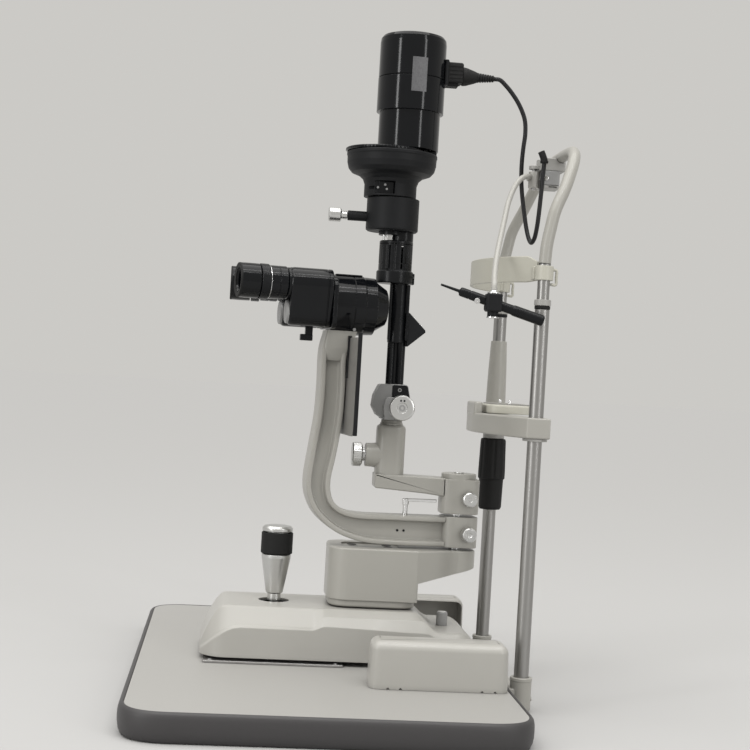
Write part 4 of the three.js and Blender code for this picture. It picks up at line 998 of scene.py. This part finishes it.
def make_tower():
    shoe = rounded([(-95, 262.5), (-88, 258.6), (-70, 260.6), (-60.6, 268), (-60.4, 282),
                    (-63.6, 296.6), (-93, 296), (-98.8, 284), (-100.4, 272)], 4, steps=6)
    bevels = [prism([(-112, s * 34), (-112, s * 5), (-81, s * 20.6), (-77, s * 34)], 250, 306,
                    "z", 0.1) for s in (-1, 1)]
    foot = carve(prism(shoe, -20.4, 20.4, "y", 1.2), tilt_bore(), *bevels)
    piece("tower_foot", foot, casting, "tower_column")
    plate = prism(rounded([(-80.5, 295.6), (-64.2, 295.6), (-61.2, 282), (-61.4, 269),
                           (-70, 262.4), (-80.5, 262)], 2.4, steps=5), -21.2, -20.5, "y", 0.25)
    piece("tower_plate", plate, gloss_trim, on="tower_column")
    hole = pipe(2.1, 1.1, "y", (-72.4, 0, 290.4), -21.6, -21.1, 0.15, 28)
    piece("tower_plate_screw", hole, casting, on="tower_column")
    rods = [rod(4.3, "z", (TOWER_X - 5, 0, 0), 296, 346, 0.4),
            rod(4.9, "z", (TOWER_X + 5.4, 0, 0), 296, 346, 0.4),
            block(TOWER_X - 2, TOWER_X + 2, -2, 2, 293, 346, 0.3, 0.4)]
    sleeve = lathe([(0, 341), (9.4, 341), (10, 342), (10, 404), (10.8, 405.4), (0, 405.4)],
                   "z", (TOWER_X, 0, 0), 64, 0.5)
    guides = [block(TOWER_X - 11 + 19 * k, TOWER_X - 8 + 19 * k, -10.6, -6, 344, 404, 0.5, 0.8)
              for k in (0, 1)]
    cup = lathe([(0, 405), (19.2, 405), (20, 406), (20, 417.6), (19.2, 418.6), (18.2, 419),
                 (18.2, 450), (17.6, 451), (0, 451)], "z", (CUP_X, 0, 0), 80, 0.5)
    lug = block(-66, -61.5, -4, 4, 405, 417, 0.8, 0.8)
    grooves = [pipe(22, 17.7, "z", (CUP_X, 0, 0), z, z + 0.7, 0.05, 80) for z in (426, 447.2)]
    flutes = [rod(2.0, "z", (CUP_X + 19.8 * math.cos(a), 19.8 * math.sin(a), 0), 420, 446, 0.3, 20)
              for a in turns(-170, 190, 24)]
    cup = carve(cup, *grooves, *flutes)
    neck = rod(12, "z", (TOWER_X, 0, 0), 450, 461, 0.4, 56)
    core = rod(13.8, "z", (SLEEVE_X, 0, 0), 457, 497.2, 0.4, 56)
    collar = pipe(15.6, 9, "z", (TOWER_X, 0, 0), 411.5, 414, 0.3, 56)
    piece("tower_stack", [*rods, sleeve, *guides, cup, lug, neck, core, collar], gloss_trim,
          on="tower_column")
    strip = block(-94.6, -88.6, -9.4, -4.6, 451, 460.4, 0.5, 0.8)
    piece("tower_strip", [strip, rod(1.3, "z", (-97.6, -6, 0), 451, 461, 0.2, 20)], aluminium,
          on="tower_column")

    wedge = prism([(-66.6, 373.6), (-65.2, 374.4), (-47, 356.4), (-46.6, 354), (-65.2, 337.8),
                   (-66.6, 338.4)], -8.6, 8.6, "y", 0.5)
    piece("mirror_holder", wedge, satin, "mirror")
    slope = Matrix.Translation((-56.3, 0, 365.6)) @ Matrix.Rotation(math.radians(44.5), 4, "Y")
    glass = turned(block(-12, 12, -7.4, 7.4, -0.4, 0.4, 0.1, 0.4), slope)
    piece("mirror_face", glass, mirror_glass, on="mirror")

    knobs = [rod(4, "y", (KNOB_X, 0, KNOB_Z), -50, 50, 0.4)]
    for side in (-1, 1):
        rim = [(0, 29.6), (7, 29.6), (7.4, 30.4), (7.4, 39.4), (12.6, 40.4), (13.4, 41.4),
               (13.4, 50.4), (12.6, 51.7), (11.4, 52), (5.6, 52), (5.2, 51), (0, 51)]
        knobs.append(lathe([(r, side * h) for r, h in rim], "y", (KNOB_X, 0, KNOB_Z), 240, 0.35,
                           ribs=(60, 0.4, *reach_of(side, 42, 50))))
    piece("width_knobs", knobs, aluminium_y, "slit_width_knobs")
    caps = [pipe(3.4, 1.6, "y", (KNOB_X, 0, KNOB_Z), *reach_of(side, 51, 51.8), 0.2, 32)
            for side in (-1, 1)]
    piece("width_knob_screws", caps, casting, on="slit_width_knobs")
    marks = [rod(1.1, "y", (KNOB_X + dx, 0, KNOB_Z + 7.6), *reach_of(side, 51.9, 52.15), 0.05, 20)
             for side in (-1, 1) for dx in (-1.8, 1.8)]
    piece("width_knob_marks", marks, satin, on="slit_width_knobs")


def make_slit_head():
    at = (SLEEVE_X, 0, 0)
    sleeve = [(14.4, 461), (26.4, 461), (28.2, 462.4), (28.4, 464), (28.4, 496), (27.6, 496.6),
              (14.4, 496.6), (14.4, 461)]
    lever = rod(5.4, "x", (0, 0, LEVER_Z), -137.6, -112, 0.8, 40)
    pin = rod(2.6, "x", (0, 0, LEVER_Z), -150, -137, 0.3, 24)
    piece("rotation_sleeve", [lathe(sleeve, "z", at, 80, 0.5), lever, pin], satin,
          "slit_rotation_sleeve")
    collar = lathe([(0, -144.8), (4.2, -144.8), (4.4, -144), (4.4, -138.4), (0, -138.2)], "x",
                   (0, 0, LEVER_Z), 40, 0.3)
    grip = [(0, -158.4), (6.4, -158.4), (7.6, -157.4), (7.6, -146), (6.6, -144.8), (0, -144.8)]
    piece("lever_tip", [lathe(grip, "x", (0, 0, LEVER_Z), 144, 0.4, ribs=(36, 0.35, -157, -146.4)),
                        collar], aluminium_x, "lever_knob")

    centre = (-93, 0, 0)
    funnel = [(0, 497.4), (28.2, 497.4), (28.4, 498.2), (28.4, 511), (30.4, 516.4), (35, 520.4),
              (43, 523.4), (46.6, 527.6), (48.2, 534), (48.4, 541), (49, 541.6), (49, 544.4),
              (48.2, 545.2), (0, 545.2)]
    window = block(-112, -90.6, -40, -21, 499.4, 513, 0.6, 2)
    through = block(-124, -112, -40, -14, 504, 507.4, 0.2, 0.5)
    head = carve(lathe(funnel, "z", centre, 96, 1.2), window, through)
    pillar = prism(box_outline(-55.6, -46, -13, 13, 2.5), 541, 549.2, "z", 0.6)
    pivot = rod(3, "z", (DIAL_X, 0, 0), 541, 549, 0.3, 32)
    piece("slit_box", [head, pillar, pivot], satin, "slit_housing")
    panel = block(-107.4, -91.4, -22.4, -20.9, 499.8, 512.6, 0.3, 1)
    piece("slit_scale_panel", panel, gloss_trim, on="slit_housing")
    screws = [rod(1.3, "y", (x, 0, z), -23.6, -22.2, 0.3, 24)
              for x, z in ((-101, 509), (-99, 504.4), (-108.6, 505.6))]
    piece("slit_screws", screws, casting, on="slit_housing")

    dial = [(3.4, 545.6), (42.6, 545.6), (43.6, 546.4), (43.6, 548.4), (42.6, 549.2),
            (3.4, 549.2), (3.4, 545.6)]
    apertures = [rod(7, "z", (DIAL_X + 24 * math.cos(a), 24 * math.sin(a), 0), 540, 552, 0.1, 40)
                 for a in (i * 2 * math.pi / 5 for i in range(5))]
    wheel = lathe(dial, "z", (DIAL_X, 0, 0), 240, 0.3, ribs=(80, 0.35, 546.2, 548.6))
    piece("filter_wheel", carve(wheel, *apertures), gloss, "filter_dial")


def make_lamp_house():
    at = (LAMP_X, 0, 0)
    lower = [(8, 549.6), (32.6, 549.6), (33, 550.2), (33, 590), (36.3, 590.4), (36.3, 626.4),
             (35.7, 627), (33.3, 627), (33.3, 594), (30, 594), (30, 553), (8, 553), (8, 549.6)]
    piece("lamp_shell", lathe(lower, "z", at, 112, 0.45), gloss, "lamp_house")
    cap = [(0, 674.6), (28, 674.4), (33.2, 672.8), (35.4, 669.8), (36, 665), (36, 628),
           (35.4, 627.4), (33, 627.4), (33, 664), (28, 671), (0, 672.8)]
    piece("lamp_top", lathe(cap, "z", at, 112, 1.2), gloss, "lamp_cap")
    bulb = [(0, 606), (4.8, 607.6), (8, 612), (8.6, 619), (7.6, 627), (6, 631.6)]
    base = [(0, 631.6), (6, 631.6), (8, 633), (12, 634), (12, 671.6), (0, 672.4)]
    piece("halogen_bulb", lathe([*bulb, (0, 631.6)], "z", at, 48, 0.4), bulb_glass, "lamp_bulb")
    piece("bulb_socket", lathe(base, "z", at, 48, 0.4), cream, on="lamp_bulb")
    label, across = [], [math.radians(-96 + 2.9 * k) for k in range(10)]
    for row in range(11):
        front = [(36.42 + 0.07 * math.sin(row * 1.3 + k * 0.9), t) for k, t in enumerate(across)]
        back = [(35.95, t) for t in across[::-1]]
        label.append([Vector((LAMP_X + radius * math.cos(t), radius * math.sin(t), 609 + 3.65 * row))
                      for radius, t in front + back])
    piece("blank_label", skin(label), label_foil, on="lamp_cap")
    inlet = block(-42.4, -38, -13, 13, 622.6, 650, 0.8, 2)
    piece("lamp_inlet", inlet, satin, on="lamp_cap")


make_camera()
make_stage()
make_cable()
make_table()
make_guides()
make_rail_cover("rail_cover_near", -1)
make_rail_cover("rail_cover_far", 1)
make_gears()
make_headrest_frame()
make_top_bracket()
make_forehead_band()
make_chin_rest()
make_fixation_lamp()
make_base()
make_joystick()
make_carrier()
make_microscope_arm()
make_microscope_body()
make_eyepiece("near", -1)
make_eyepiece("far", 1)
make_illumination_arm()
make_tower_fork()
make_tower()
make_slit_head()
make_lamp_house()
